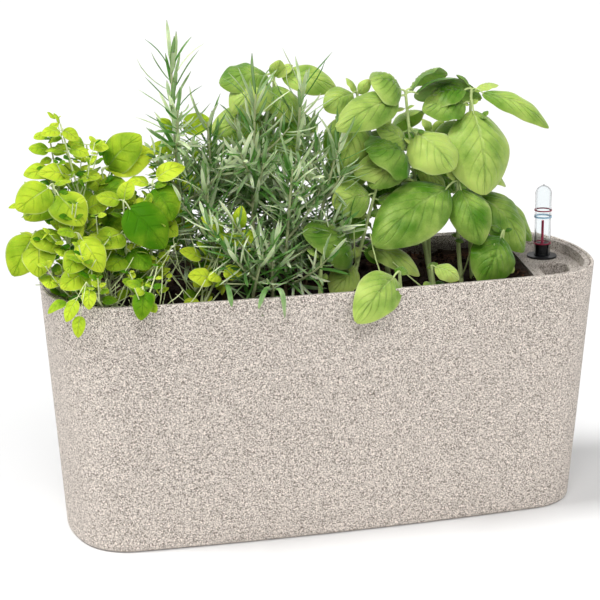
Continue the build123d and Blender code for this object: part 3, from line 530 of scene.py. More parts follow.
class Surface:
    """Collects grids, strips and tubes into one mesh."""

    def __init__(self):
        self.vertices, self.uv, self.tone, self.under = [], [], [], []
        self.polygons, self.finish = [], []
        self.count = 0

    def add(self, vertices, polygons, uv=None, tone=0.5, under=0.0, finish=0):
        """Add vertices (n, 3) and arrays of polygons that index them."""
        total = len(vertices)
        self.vertices.append(vertices)
        self.uv.append(np.zeros((total, 2)) if uv is None else uv)
        self.tone.append(np.broadcast_to(tone, total))
        self.under.append(np.broadcast_to(under, total))
        for faces in polygons:
            self.polygons += (faces + self.count).tolist()
            self.finish += [finish] * len(faces)
        self.count += total

    def add_loops(self, loops):
        """Add rows of closed loops, (rows, points, 3), with a face across the first and the last row."""
        rows, points = loops.shape[:2]
        first = np.arange(points)
        last = first + (rows - 1) * points
        walls = grid_faces(rows, points, True)[:, ::-1]
        self.add(loops.reshape(-1, 3), [walls, first[None, ::-1], last[None]])

    def add_tubes(self, paths, radii, sides, age=(0.0, 1.0)):
        """Add stems along paths, whose U runs between two ages, from woody (0) to fresh (1)."""
        vertices, faces, uv = tubes(paths, np.broadcast_to(radii, paths.shape[:2]), sides)
        self.add(vertices, faces, uv * (age[1] - age[0], 1) + (age[0], 0), finish=STEM)

    def add_blades(self, base, tip, face, width, outline, style, rows, columns, tone):
        """Add leaves or needles, each of one tone."""
        vertices, faces, uv, under, corners = leaf_bodies(
            base, tip, face, width, outline, style, rows, columns)
        self.add(vertices, [faces], uv, np.repeat(tone, corners), under, LEAF)

    def build(self, name, materials):
        """Make the object, with its UV map, its stored values and its materials."""
        mesh = bpy.data.meshes.new(name)
        mesh.from_pydata(np.concatenate(self.vertices), [], self.polygons)
        for material in materials:
            mesh.materials.append(material)
        mesh.polygons.foreach_set("material_index", self.finish)
        mesh.polygons.foreach_set("use_smooth", [True] * len(mesh.polygons))
        corner = np.zeros(len(mesh.loops), int)
        mesh.loops.foreach_get("vertex_index", corner)
        mesh.uv_layers.new(name="UVMap").data.foreach_set("uv", np.concatenate(self.uv)[corner].ravel())
        for label, values in (("tone", self.tone), ("under", self.under)):
            stored = mesh.attributes.new(label, "FLOAT", "POINT")
            stored.data.foreach_set("value", np.concatenate(values).astype(np.float32))
        mesh.update()
        mesh.set_sharp_from_angle(angle=math.radians(50))
        made = bpy.data.objects.new(name, mesh)
        bpy.context.scene.collection.objects.link(made)
        return made


def settle(piece, body, slot, *nodes):
    """Let a piece move with a body and stand for CAD nodes; the slot is not used."""
    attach(piece, body)
    if nodes:
        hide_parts(*nodes)


def unit(vectors):
    """Vectors of length one."""
    return vectors / np.linalg.norm(vectors, axis=-1, keepdims=True)


def grid_faces(rows, columns, closed=False):
    """Quads of a grid of vertices, whose columns may close on themselves."""
    index = np.arange(rows * columns).reshape(rows, columns)
    after = np.roll(index, -1, axis=1) if closed else index[:, 1:]
    before = index if closed else index[:, :-1]
    quads = np.stack([before[:-1], before[1:], after[1:], after[:-1]], axis=-1)
    return quads.reshape(-1, 4)


def leaf_bodies(base, tip, face, width, outline, style, rows, columns):
    """Closed thin leaves, many at once.

    A point is base + u * axis, raised by arch * 4u(1 - u) along the leaf's normal and lowered by
    curl * u cubed, then moved sideways by v times the outline's half-width at u. Across the leaf it drops
    by cup * v squared, folds up by gutter * |v| near the base and waves along its edge. It swells between
    slanting ribs, is creased along the midrib, and sways sideways by sway * u squared. The underside is the
    same sheet moved down by the thickness, and shares the rim.
    """
    count = len(base)
    u = np.linspace(0.012, 0.99, rows)[None, :, None]
    v = np.linspace(-1, 1, columns)[None, None, :]
    axis = tip - base
    reach = np.linalg.norm(axis, axis=1)
    normal = unit(face - axis * (np.sum(face * axis, axis=1) / reach**2)[:, None])
    across = np.cross(normal, axis / reach[:, None])
    half = width[:, None, None] / 2 * outline(u)

    def each(key):
        return np.asarray(style[key], float).reshape(-1, 1, 1)

    reach = reach[:, None, None]
    rise = reach * (each("arch") * 4 * u * (1 - u) - each("curl") * u**3)
    rise = rise - each("cup") * half * v**2 + each("gutter") * half * np.abs(v) * (1 - u) ** 2
    ripple = np.sin(2 * np.pi * each("waves") * u + each("phase") * np.sign(v))
    rise = rise + each("wave") * half * v**2 * ripple
    swell = 0.5 - 0.5 * np.cos(2 * np.pi * each("ribs") * (u - each("slant") * np.abs(v)))
    rise = rise + each("swell") * width[:, None, None] * swell * (1 - v**2) * 4 * u * (1 - u)
    rise = rise - each("crease") * width[:, None, None] * np.exp(-((v / 0.16) ** 2)) * (1 - u)
    sway = each("sway") * reach * u**2
    top = (base[:, None, None] + axis[:, None, None] * u[..., None] + normal[:, None, None] * rise[..., None]
           + across[:, None, None] * (half * v + sway)[..., None])
    below = top - normal[:, None, None] * (each("thick") * np.ones_like(rise))[..., None]
    inner = below[:, 1:-1, 1:-1].reshape(count, -1, 3)
    vertices = np.concatenate([top.reshape(count, -1, 3), inner], axis=1)
    upper = np.arange(rows * columns).reshape(rows, columns)
    lower = upper.copy()
    lower[1:-1, 1:-1] = rows * columns + np.arange((rows - 2) * (columns - 2)).reshape(rows - 2, columns - 2)
    faces = np.stack([upper[:-1, :-1], upper[1:, :-1], upper[1:, 1:], upper[:-1, 1:]], -1).reshape(-1, 4)
    back = np.stack([lower[:-1, :-1], lower[:-1, 1:], lower[1:, 1:], lower[1:, :-1]], -1).reshape(-1, 4)
    faces = np.concatenate([faces, back])
    size = vertices.shape[1]
    faces = (faces[None] + (np.arange(count) * size)[:, None, None]).reshape(-1, 4)
    flat = np.stack(np.broadcast_arrays(u[0], v[0] * 0.5 + 0.5), -1)
    uv = np.concatenate([flat.reshape(-1, 2), flat[1:-1, 1:-1].reshape(-1, 2)])
    under = np.concatenate([np.zeros(rows * columns), np.ones((rows - 2) * (columns - 2))])
    return vertices.reshape(-1, 3), faces, np.tile(uv, (count, 1)), np.tile(under, count), size


def tubes(paths, radii, sides):
    """Round tubes along many paths at once, closed at both ends.

    Each path is (points, 3). A ring stands square to the path at every point, at that point's radius.
    """
    count, points = paths.shape[:2]
    along = unit(np.gradient(paths, axis=1))
    first = unit(np.cross(along, ASIDE))
    second = np.cross(along, first)
    turn = np.linspace(0, 2 * np.pi, sides, endpoint=False)[None, None, :, None]
    ring = np.cos(turn) * first[:, :, None] + np.sin(turn) * second[:, :, None]
    vertices = paths[:, :, None] + ring * radii[:, :, None, None]
    faces = grid_faces(points, sides, closed=True)[:, ::-1]
    shift = (np.arange(count) * points * sides)[:, None, None]
    quads = (faces[None] + shift).reshape(-1, 4)
    ends = np.stack([np.arange(sides)[::-1], np.arange(sides) + (points - 1) * sides])
    caps = (ends[None] + shift).reshape(-1, sides)
    share = np.linspace(0, 1, points)[None, :, None]
    uv = np.stack(np.broadcast_arrays(share, turn[..., 0] / (2 * np.pi)), -1)
    uv = np.broadcast_to(uv, (count, points, sides, 2)).reshape(-1, 2)
    return vertices.reshape(-1, 3), [quads, caps[:, ::-1]], uv


def outline(heights, insets, shape, fine=14):
    """Closed plan outlines of the planter, one row per height and inset.

    A quarter of the plan is an arc of the bowed end, a corner arc that touches both neighbours from inside,
    and half of the bowed side. The other quarters mirror it.
    """
    tall = (PLANTER_HIGH - PLANTER_LOW).z
    draw = shape.base_inset * (1 - heights / tall) + insets
    half_x, half_y = SHELL_HALF[0] - draw, SHELL_HALF[1] - draw
    corner = shape.corner_radius - draw
    rise_x, rise_y = half_x - shape.end_bow, half_y - shape.side_bow
    end_radius = (rise_y**2 + shape.end_bow**2) / (2 * shape.end_bow)
    side_radius = (rise_x**2 + shape.side_bow**2) / (2 * shape.side_bow)
    end = np.stack([half_x - end_radius, 0 * half_x], -1)
    flank = np.stack([0 * half_x, half_y - side_radius], -1)
    gap = flank - end
    far = np.linalg.norm(gap, axis=-1)
    near = ((end_radius - corner) ** 2 - (side_radius - corner) ** 2 + far**2) / (2 * far)
    off = np.sqrt(np.maximum((end_radius - corner) ** 2 - near**2, 0))
    way = gap / far[:, None]
    square = np.stack([-way[:, 1], way[:, 0]], -1) * -np.sign(way[:, 1:])
    middle = end + way * near[:, None] + square * off[:, None]
    start = np.arctan2(*(middle - end).T[::-1])
    stop = np.arctan2(*(middle - flank).T[::-1])
    step = np.linspace(0, 1, fine)

    def arc(centre, radius, first, last):
        angle = first[:, None] + (last - first)[:, None] * step
        return centre[:, None] + radius[:, None, None] * np.stack([np.cos(angle), np.sin(angle)], -1)

    quarter = np.concatenate([
        arc(end, end_radius, 0 * start, start)[:, :-1],
        arc(middle, corner, start, stop)[:, :-1],
        arc(flank, side_radius, stop, 0 * stop + np.pi / 2)], axis=1)
    left = quarter[:, ::-1] * (-1, 1)
    loop = np.concatenate([
        quarter, left[:, 1:], (quarter * -1)[:, 1:], (quarter[:, ::-1] * (1, -1))[:, 1:-1]], axis=1)
    return np.concatenate([loop, np.broadcast_to(heights[:, None, None], (*loop.shape[:2], 1))], axis=-1)


def lathe(profile, centre, sides=64):
    """Loops of a profile of (radius, height) rows turned about an upright axis."""
    turn = np.linspace(0, 2 * np.pi, sides, endpoint=False)
    radius, height = np.asarray(profile, float).T
    ring = np.stack([np.cos(turn), np.sin(turn)], -1)[None] * radius[:, None, None] + centre[:2]
    heights = np.broadcast_to(height[:, None, None], (*ring.shape[:2], 1))
    return np.concatenate([ring, heights], -1)


class PLANTER_OT_shells(bpy.types.Operator):
    """Turn the outer planter's profile about its plan and finish both shells"""
    bl_idname = "planter.shells"
    bl_label = "Planter Shells"

    def execute(self, context):
        shape, look = context.scene.planter_shape, context.scene.planter_finish
        top = PLANTER_HIGH.z
        quarter = np.linspace(0, np.pi / 2, 7)
        foot = shape.foot_radius
        edge = shape.rim_edge
        rows = [(foot * (1 - np.sin(a)), foot * (1 - np.cos(a))) for a in quarter]
        rows += [(0.0, z) for z in np.linspace(foot, top - edge, 26)[1:]]
        rows += [(edge * (1 - np.cos(a)), top - edge * (1 - np.sin(a))) for a in quarter[1:]]
        rows += [(shape.rim_width - edge * (1 - np.sin(a)), top - edge * (1 - np.cos(a))) for a in quarter]
        ledge = top - shape.ledge_depth
        rows += [(shape.rim_width, ledge), (shape.outer_wall, ledge)]
        rows += [(shape.outer_wall, z) for z in np.linspace(ledge, shape.outer_floor, 8)[1:]]
        insets, heights = np.array(rows).T
        surface = Surface()
        surface.add_loops(outline(heights, insets, shape))
        shell = surface.build("planter_shell", [speckled_finish("speckled_shell", look, 0.98)])
        settle(shell, "outer", "speckled_plastic", "outer_planter")
        # Painted shade: the liner's lower depth share darkens all its plastic, standing in for the shade
        # inside it; its inner walls also get soil staining and painted shade.
        liner = speckled_finish("speckled_liner", look, 0.68, 0.75)
        frame["nodes"]["planting_liner"].data.materials[0] = liner
        basket = moulded_finish("basket_plastic", look.black, 0.5)
        for node in ("wick_basket_left", "wick_basket_right"):
            frame["nodes"][node].data.materials[0] = basket
        return {"FINISHED"}


def uneven(points, seed, scales):
    """Smooth uneven height: a sum of sine waves in random directions, (wave length, height) each."""
    rng = np.random.default_rng(seed)
    total = np.zeros(points.shape[:-1])
    for wave, height in scales:
        for _ in range(6):
            bearing, phase = rng.uniform(0, 2 * np.pi, 2)
            stretch = rng.uniform(0.7, 1.4)
            way = np.array([np.cos(bearing), np.sin(bearing)]) * (2 * np.pi / (wave * stretch))
            total += height / 6 * np.sin(points[..., :2] @ way + phase)
    return total


def bulkhead(depth, shape):
    """How far along X the soil reaches at a place along Y: up to the slanting bulkhead."""
    return SOIL_HIGH.x - 0.5 * MM - shape.bulkhead_slope * (SOIL_HIGH.y - depth)


def heap(points, shape):
    """How much higher the soil lies: smooth steps of the nearness to the bulkhead and to the back wall."""
    near = (1 - (bulkhead(points[..., 1], shape) - points[..., 0]) / shape.heap_length).clip(0, 1)
    back = (points[..., 1] / SOIL_HIGH.y).clip(0, 1)
    return shape.heap_height * near**2 * (3 - 2 * near) + shape.bank_height * back**2 * (3 - 2 * back)


def soil_edge(height, shape):
    """Plan outline of the soil at a height: inside the liner's wall and short of the bulkhead."""
    loop = outline(np.array([height]), np.array([shape.liner_inner + SOIL_GAP]), shape, fine=24)[0]
    loop[:, 0] = np.minimum(loop[:, 0], bulkhead(loop[:, 1], shape))
    return loop


class PLANTER_OT_soil(bpy.types.Operator):
    """Fill the liner with an uneven bed of soil and loose crumbs"""
    bl_idname = "planter.soil"
    bl_label = "Potting Soil"

    def execute(self, context):
        shape, look = context.scene.planter_shape, context.scene.planter_finish
        level = SOIL_HIGH.z
        rings = np.concatenate([[1.0], 1 - np.linspace(0.012, 0.97, 44)])
        bed = soil_edge(level, shape)[None] * np.stack([rings, rings, np.ones_like(rings)], -1)[:, None]
        bed[..., 2] += uneven(bed, 3, SOIL_WAVES) + 1.0 * MM
        bed[..., 2] += heap(bed, shape)
        surface = Surface()
        surface.add_loops(np.concatenate([soil_edge(level - SOIL_SKIRT, shape)[None], bed]))
        soil = soil_finish("moist_soil", look)
        settle(surface.build("soil_bed", [soil]), "liner", "soil", "potting_soil")
        self.scatter(soil, level, shape)
        return {"FINISHED"}

    def scatter(self, soil, level, shape):
        """Strew lumps: twelve-cornered balls, each squeezed and turned at random."""
        rng = np.random.default_rng(11)
        golden = (1 + 5**0.5) / 2
        corners = unit(np.array([(-1, golden, 0), (1, golden, 0), (-1, -golden, 0), (1, -golden, 0),
                                 (0, -1, golden), (0, 1, golden), (0, -1, -golden), (0, 1, -golden),
                                 (golden, 0, -1), (golden, 0, 1), (-golden, 0, -1), (-golden, 0, 1)]))
        sides = np.array([(0, 11, 5), (0, 5, 1), (0, 1, 7), (0, 7, 10), (0, 10, 11), (1, 5, 9), (5, 11, 4),
                          (11, 10, 2), (10, 7, 6), (7, 1, 8), (3, 9, 4), (3, 4, 2), (3, 2, 6), (3, 6, 8),
                          (3, 8, 9), (4, 9, 5), (2, 4, 11), (6, 2, 10), (8, 6, 7), (9, 8, 1)])
        spread = rng.uniform(-1, 1, (CRUMB_COUNT, 2)) * CRUMB_FIELD
        inside = np.sum((np.abs(spread) / CRUMB_FIELD) ** 4, axis=1) < 0.93
        spread = spread[inside & (spread[:, 0] < bulkhead(spread[:, 1], shape) - 4 * MM)]
        count = len(spread)
        size = rng.uniform(0.7, 1.0, count) ** 3
        size = size * rng.choice(CRUMB_SIZES, count, p=CRUMB_SHARES) * MM
        squeeze = rng.uniform(0.45, 1.1, (count, 1, 3))
        bumpy = 1 + rng.uniform(-0.25, 0.25, (count, len(corners), 1))
        x, y, z = np.moveaxis(corners[None] * bumpy * squeeze * size[:, None, None], -1, 0)
        spin = rng.uniform(0, 2 * np.pi, count)[:, None]
        turned = np.stack([x * np.cos(spin) - y * np.sin(spin), x * np.sin(spin) + y * np.cos(spin), z], -1)
        place = np.concatenate([spread, level + rng.uniform(0, 3, (count, 1)) * MM], -1)
        place[:, 2] += heap(spread, shape)
        faces = (sides[None] + (np.arange(count) * len(corners))[:, None, None]).reshape(-1, 3)
        surface = Surface()
        surface.add((turned + place[:, None]).reshape(-1, 3), [faces])
        settle(surface.build("soil_crumbs", [soil]), "liner", "soil")


class PLANTER_OT_indicator(bpy.types.Operator):
    """Finish the water level indicator"""
    bl_idname = "planter.indicator"
    bl_label = "Level Indicator"

    def execute(self, context):
        look = context.scene.planter_finish
        nodes = frame["nodes"]
        black = moulded_finish("black_plastic", look.black, 0.32, Specular_IOR_Level=0.25)
        red = moulded_finish("red_plastic", look.red, 0.35)
        for node, material in (
                ("indicator_base", black), ("float_tube", black), ("float_tube_cap", black),
                ("min_ring", red), ("max_ring", red), ("pointer_rod", red),
                ("optimum_ring", moulded_finish("blue_plastic", look.blue, 0.35, Transmission_Weight=0.7)),
                ("water_float", moulded_finish("float_foam", look.foam, 0.7))):
            nodes[node].data.materials[0] = material
        self.window(clear_finish("clear_plastic", look.clear))
        return {"FINISHED"}

    def window(self, clear):
        """Turn the window's profile: an outer and an inner wall that both close in a dome."""
        centre = np.array((WINDOW_LOW + WINDOW_HIGH) / 2)
        radius = (WINDOW_HIGH.x - WINDOW_LOW.x) / 2
        wall, nub, nub_height = 0.9 * MM, 0.9 * MM, 0.6 * MM
        pole = 1e-6  # radius at which the dome closes
        inner = radius - wall
        dome = WINDOW_HIGH.z - radius
        arc = np.linspace(0, np.pi / 2, 14)[:-1]
        foot = WINDOW_LOW.z
        rows = [(inner * np.cos(a) + pole, dome + inner * np.sin(a)) for a in arc[::-1]]
        rows += [(inner, z) for z in np.linspace(dome, foot, 10)[1:]]
        rows += [(radius, z) for z in np.linspace(foot, dome, 10)]
        rows += [(max(radius * np.cos(a), nub), dome + radius * np.sin(a) - nub_height) for a in arc[1:]]
        rows += [(nub, WINDOW_HIGH.z), (pole, WINDOW_HIGH.z)]
        surface = Surface()
        surface.add_loops(lathe(rows, centre))
        settle(surface.build("clear_window", [clear]), "indicator", "clear_plastic", "indicator_window")


def root_of(shoot):
    """Where a shoot leaves the soil."""
    return np.array([shoot[0] * SHELL_HALF[0], shoot[1] * SHELL_HALF[1], SOIL_HIGH.z])


def on_stem(shoot, shares, bow=0.016):
    """Points on a stem: straight from root to top, bowed sideways by a sine of the share."""
    shares = np.atleast_1d(np.asarray(shares, float))[:, None]
    way = np.array(shoot[2:5]) * MM
    side = unit(np.array([-way[1] - 0.02, way[0] + 0.013, 0.0]))
    return root_of(shoot) + way * shares + side * np.sin(np.pi * shares) * bow * way[2]


def facing(reach, rng):
    """The way leaves face: up and the way that they reach, with a little chance."""
    outward = np.clip(reach[:, 1] / (20 * MM) - 0.4, -1, 1)
    face = np.stack([0 * outward, outward, 0 * outward + 0.8], -1)
    return face + rng.normal(0, 0.16, face.shape)


def egg(widest, sharp):
    """Half-width of a leaf along its length: a power curve that is widest at a share of it."""
    rise = sharp * widest / (1 - widest)
    peak = widest**rise * (1 - widest) ** sharp
    return lambda u: u**rise * (1 - u) ** sharp / peak


def needle_outline(u):
    """Half-width of a needle: full along most of its length, drawn in at its base and its tip."""
    return np.minimum(1, 3.2 * u**0.5) * np.minimum(1, 2.2 * (1 - u) ** 0.6)


def aimed(bearing, rise):
    """Unit vectors of a bearing about Z and a rise above level, in radians."""
    return np.stack([np.cos(rise) * np.cos(bearing), np.cos(rise) * np.sin(bearing), np.sin(rise)], -1)


def within_rim(paths):
    """Bend paths that would run through the planter's wall: their points below the rim stay over the soil."""
    clear = 3 * MM
    inside = paths[..., :2].clip(np.array(SOIL_LOW)[:2] + clear, np.array(SOIL_HIGH)[:2] - clear)
    deep = paths[..., 2:] < PLANTER_HIGH.z + 2 * MM
    return np.concatenate([np.where(deep, inside, paths[..., :2]), paths[..., 2:]], -1)


def side_twigs(shoot, count, shares, rises, reaches, rng):
    """Side twigs of a stem: a twig is start + reach * (aim * t + 0.35 * up * t squared)."""
    share = rng.uniform(*shares, count)
    aim = aimed(rng.uniform(0, 2 * np.pi, count), np.radians(rng.uniform(*rises, count)))
    reach = rng.uniform(*reaches, count) * MM * (1.15 - 0.5 * share)
    t = np.linspace(0, 1, TWIG_POINTS)[None, :, None]
    paths = on_stem(shoot, share)[:, None] + reach[:, None, None] * (aim[:, None] * t + (0, 0, 0.35) * t**2)
    return within_rim(paths)


def young_leaves(shoot, paths, form, rng):
    """Starts and reaches of small leaves: opposite pairs up the stem, and pairs towards the tips of twigs."""
    gap = form["pair_gap"] / shoot[4]
    shares = np.repeat(np.arange(form["pair_from"], 1.0, gap), 2)
    order = np.arange(len(shares)) // 2
    bearing = np.radians(rng.uniform(0, 90) + 90 * order + 180 * (np.arange(len(shares)) % 2))
    bearing = bearing + rng.uniform(-0.5, 0.5, len(shares))
    reach = rng.uniform(*form["young"], len(shares)) * MM * (1.2 - 0.5 * shares)
    starts = [on_stem(shoot, shares)]
    reaches = [aimed(bearing, np.radians(rng.uniform(-25, 40, len(shares)))) * reach[:, None]]
    along = unit(np.gradient(paths, axis=1))
    for knot in (3, 5, 7):
        side = unit(np.cross(along[:, knot], (0.0, 0.0, 1.0)))
        for hand in (-1, 1):
            aim = unit(along[:, knot] * 0.6 + hand * side + rng.uniform(-0.5, 0.5, side.shape))
            starts.append(paths[:, knot])
            reaches.append(aim * rng.uniform(*form["young"], len(paths))[:, None] * MM * (1.0 - 0.07 * knot))
    return np.concatenate(starts), np.concatenate(reaches)


def add_leaves(surface, start, reach, width, tone, form, rows, columns, rng):
    """Add leaves with their stalks: a stalk is a short arc from the stem to the leaf's base."""
    count = len(start)
    size = np.linalg.norm(reach, axis=1)[:, None]
    stalk_share = np.maximum(form["stalk"], 1 - form["slender"] * width[:, None] / size)
    base, tip = start + reach * stalk_share, start + reach
    t = np.linspace(0, 1, 5)[None, :, None]
    bend = (start + base) / 2 + (0, 0, 0.05) * size
    end = base + (tip - base) * 0.05
    stalk = start[:, None] * (1 - t) ** 2 + bend[:, None] * 2 * t * (1 - t) + end[:, None] * t**2
    radius = form["petiole"] / 2 * np.linspace(1, 0.7, 5) * np.clip(width[:, None] / form["usual"], 0.35, 1)
    surface.add_tubes(stalk, radius, 5, FRESH)
    style = {key: rng.uniform(*limits, count) for key, limits in form["style"].items()}
    face = facing(reach, rng)
    surface.add_blades(base, tip, face, width, form["outline"], style, rows, columns, tone)


def leafy_herb(name, shoot, form, materials, slot, seed):
    """Build one shoot: stem, twigs, grown leaves from its list and young leaves by rule."""
    rng = np.random.default_rng(seed)
    surface = Surface()
    steps = np.linspace(-0.02, 1, 14)
    surface.add_tubes(on_stem(shoot, steps)[None], form["stem"] / 2 * (1 - 0.45 * steps.clip(0)), 8)
    twigs = side_twigs(shoot, int(shoot[4] / form["twig_gap"]), (0.02, 0.8), (15, 60), form["twig"], rng)
    surface.add_tubes(twigs, form["petiole"] * np.linspace(0.5, 0.28, TWIG_POINTS), 5)
    table = np.array(shoot[5])
    add_leaves(surface, on_stem(shoot, table[:, 0]), table[:, 1:4] * MM, table[:, 4] * MM, table[:, 5], form,
               form["rows"], form["columns"], rng)
    start, reach = young_leaves(shoot, twigs, form, rng)
    width = np.linalg.norm(reach, axis=1) * rng.uniform(0.55, 0.75, len(start))
    add_leaves(surface, start, reach, width, rng.uniform(-0.1, 0.95, len(start)), form, 8, 5, rng)
    bare = side_twigs(shoot, form["bare"], (0.0, 0.3), (5, 65), (16, 42), rng)
    bow = rng.uniform(-5, 5, (len(bare), 1, 3)) * MM
    bare = within_rim(bare + bow * np.sin(np.linspace(0, 2.6, TWIG_POINTS))[None, :, None])
    surface.add_tubes(bare, form["petiole"] * np.linspace(0.4, 0.25, TWIG_POINTS), 5, FRESH)
    settle(surface.build(name + "_foliage", materials), "liner", slot, name)


BASIL_FORM = {
    "stem": 3.6 * MM, "petiole": 1.8 * MM, "stalk": 0.12, "slender": 3.2, "usual": 24.0 * MM,
    "rows": 24, "columns": 15, "outline": egg(0.46, 0.78), "pair_from": 0.45, "pair_gap": 22.0,
    "young": (9, 17), "twig_gap": 45.0, "twig": (12, 22), "bare": 1,
    "style": {"arch": (0.10, 0.18), "curl": (0.02, 0.14), "cup": (0.3, 0.55), "gutter": (0.05, 0.25),
              "wave": (0.03, 0.1), "waves": (1.5, 3.0), "phase": (0, 3), "ribs": (5.8, 6.2),
              "slant": (0.44, 0.46), "swell": (0.045, 0.075), "crease": (0.02, 0.04),
              "sway": (-0.06, 0.06), "thick": (0.0004, 0.0005)},
}
OREGANO_FORM = {
    "stem": 2.0 * MM, "petiole": 1.2 * MM, "stalk": 0.13, "slender": 1.6, "usual": 16.0 * MM,
    "rows": 14, "columns": 9, "outline": egg(0.4, 0.74), "pair_from": 0.25, "pair_gap": 13.0,
    "young": (8, 17), "twig_gap": 11.0, "twig": (16, 38), "bare": 9,
    "style": {"arch": (0.06, 0.16), "curl": (0.0, 0.12), "cup": (0.1, 0.4), "gutter": (0.1, 0.4),
              "wave": (0.02, 0.1), "waves": (1.0, 2.0), "phase": (0, 3), "ribs": (3.9, 4.1),
              "slant": (0.27, 0.29), "swell": (0.01, 0.025), "crease": (0.02, 0.04),
              "sway": (-0.1, 0.1), "thick": (0.0003, 0.0004)},
}


class PLANTER_OT_basil(bpy.types.Operator):
    """Grow the basil"""
    bl_idname = "planter.basil"
    bl_label = "Basil"

    def execute(self, context):
        look = context.scene.herb_finish
        leaf = leaf_finish("basil_leaf", look.basil_deep, look.basil_pale, look.basil_vein,
                           ribs=6.0, slant=0.45, gloss=0.26, shine=0.14, sheen=0.3)
        stem = stem_finish("basil_stem", look.basil_vein, look.basil_vein)
        for step, (name, shoot) in enumerate(BASIL.items()):
            leafy_herb(name, shoot, BASIL_FORM, [leaf, stem], "basil_leaf", look.seed + step)
        return {"FINISHED"}


class PLANTER_OT_oregano(bpy.types.Operator):
    """Grow the oregano"""
    bl_idname = "planter.oregano"
    bl_label = "Oregano"

    def execute(self, context):
        look = context.scene.herb_finish
        leaf = leaf_finish("oregano_leaf", look.oregano_deep, look.oregano_pale, look.oregano_vein,
                           ribs=4.0, slant=0.28, gloss=0.38, shine=0.08, sheen=0.04)
        stem = stem_finish("oregano_stem", look.oregano_vein, look.oregano_vein)
        for step, (name, shoot) in enumerate(OREGANO.items()):
            leafy_herb(name, shoot, OREGANO_FORM, [leaf, stem], "oregano_leaf", look.seed + 40 + step)
        return {"FINISHED"}


class PLANTER_OT_rosemary(bpy.types.Operator):
    """Grow the rosemary"""
    bl_idname = "planter.rosemary"
    bl_label = "Rosemary"

    def execute(self, context):
        look = context.scene.herb_finish
        leaf = leaf_finish("rosemary_needle", look.rosemary_top, look.rosemary_under, look.rosemary_under,
                           ribs=1.0, slant=0.0, gloss=0.45, shine=0.08, sheen=0.0)
        stem = stem_finish("rosemary_stem", look.rosemary_stem, look.rosemary_wood)
        for step, (name, shoot) in enumerate(ROSEMARY.items()):
            self.grow(name, shoot, [leaf, stem], look.seed + 80 + step)
        return {"FINISHED"}

    def grow(self, name, shoot, materials, seed):
        """One shoot: a stem and side twigs, all set with needles."""
        rng = np.random.default_rng(seed)
        surface = Surface()
        steps = np.linspace(-0.02, 1, 16)
        stem = on_stem(shoot, steps)
        surface.add_tubes(stem[None], 1.5 * MM * (1 - 0.5 * steps.clip(0)), 8)
        twigs = side_twigs(shoot, int(shoot[4] / 22), (0.1, 0.75), (15, 50), (26, 50), rng)
        surface.add_tubes(twigs, np.linspace(1.0, 0.5, TWIG_POINTS) * MM, 5, (0.5, 1.0))
        bearers = [(stem, 0.14, 4.0, (28, 42)), *((twig, 0.1, 3.6, (16, 29)) for twig in twigs)]
        for path, lowest, gap, reaches in bearers:
            self.needles(surface, path, lowest, gap * MM, reaches, math.radians(shoot[5]), rng)
        if name in OVERHANG:
            self.over_rim(surface, shoot, np.array(OVERHANG[name]))
        settle(surface.build(name + "_foliage", materials), "liner", "rosemary_leaf", name)

    def over_rim(self, surface, shoot, table):
        """Needles that hang over the rim, each on a straight twig from the middle of the stem."""
        base, tip = table[:, :3] * MM, table[:, 3:6] * MM
        t = np.linspace(0, 1, TWIG_POINTS)[None, :, None]
        surface.add_tubes(on_stem(shoot, 0.5)[None] * (1 - t) + base[:, None] * t, 0.5 * MM, 5, FRESH)
        style = dict(NEEDLE_STYLE, arch=table[:, 6])
        face = np.broadcast_to((0.0, -0.3, 1.0), base.shape)
        width, tone = np.full(len(base), 3.6 * MM), np.full(len(base), 0.25)
        surface.add_blades(base, tip, face, width, needle_outline, style, 12, 5, tone)

    def needles(self, surface, path, lowest, gap, reaches, first, rng):
        """Opposite pairs of needles, each pair a quarter turn on, that close up towards the path's tip."""
        span = np.linalg.norm(path[-1] - path[0])
        share = np.repeat(np.arange(lowest, 1.0, gap / span), 2)
        share = (share + rng.uniform(-0.5, 0.5, len(share)) * gap / span).clip(0, 1)
        count = len(share)
        knots = np.linspace(0, 1, len(path))
        base = np.stack([np.interp(share, knots, path[:, axis]) for axis in range(3)], -1)
        slope = unit(np.gradient(path, axis=0))
        along = unit(np.stack([np.interp(share, knots, slope[:, axis]) for axis in range(3)], -1))
        side = unit(np.cross(along, ASIDE))
        order = np.arange(count)
        bearing = first + np.pi / 2 * (order // 2) + np.pi * (order % 2) + rng.uniform(-0.5, 0.5, count)
        lean = np.radians(76 - 46 * share**1.6 + rng.uniform(-14, 14, count))[:, None]
        outward = side * np.cos(bearing)[:, None] + np.cross(along, side) * np.sin(bearing)[:, None]
        aim = along * np.cos(lean) + outward * np.sin(lean)
        reach = rng.uniform(*reaches, count) * MM * (1 - 0.2 * share)
        style = dict(NEEDLE_STYLE, arch=rng.uniform(-0.06, 0.06, count), curl=rng.uniform(-0.2, 0.22, count),
                     sway=rng.uniform(-0.1, 0.1, count))
        width = rng.uniform(2.2, 3.1, count) * MM
        tone = rng.uniform(-0.08, 0.88, count)
        tip = base + aim * reach[:, None]
        surface.add_blades(base, tip, along, width, needle_outline, style, 6, 3, tone)


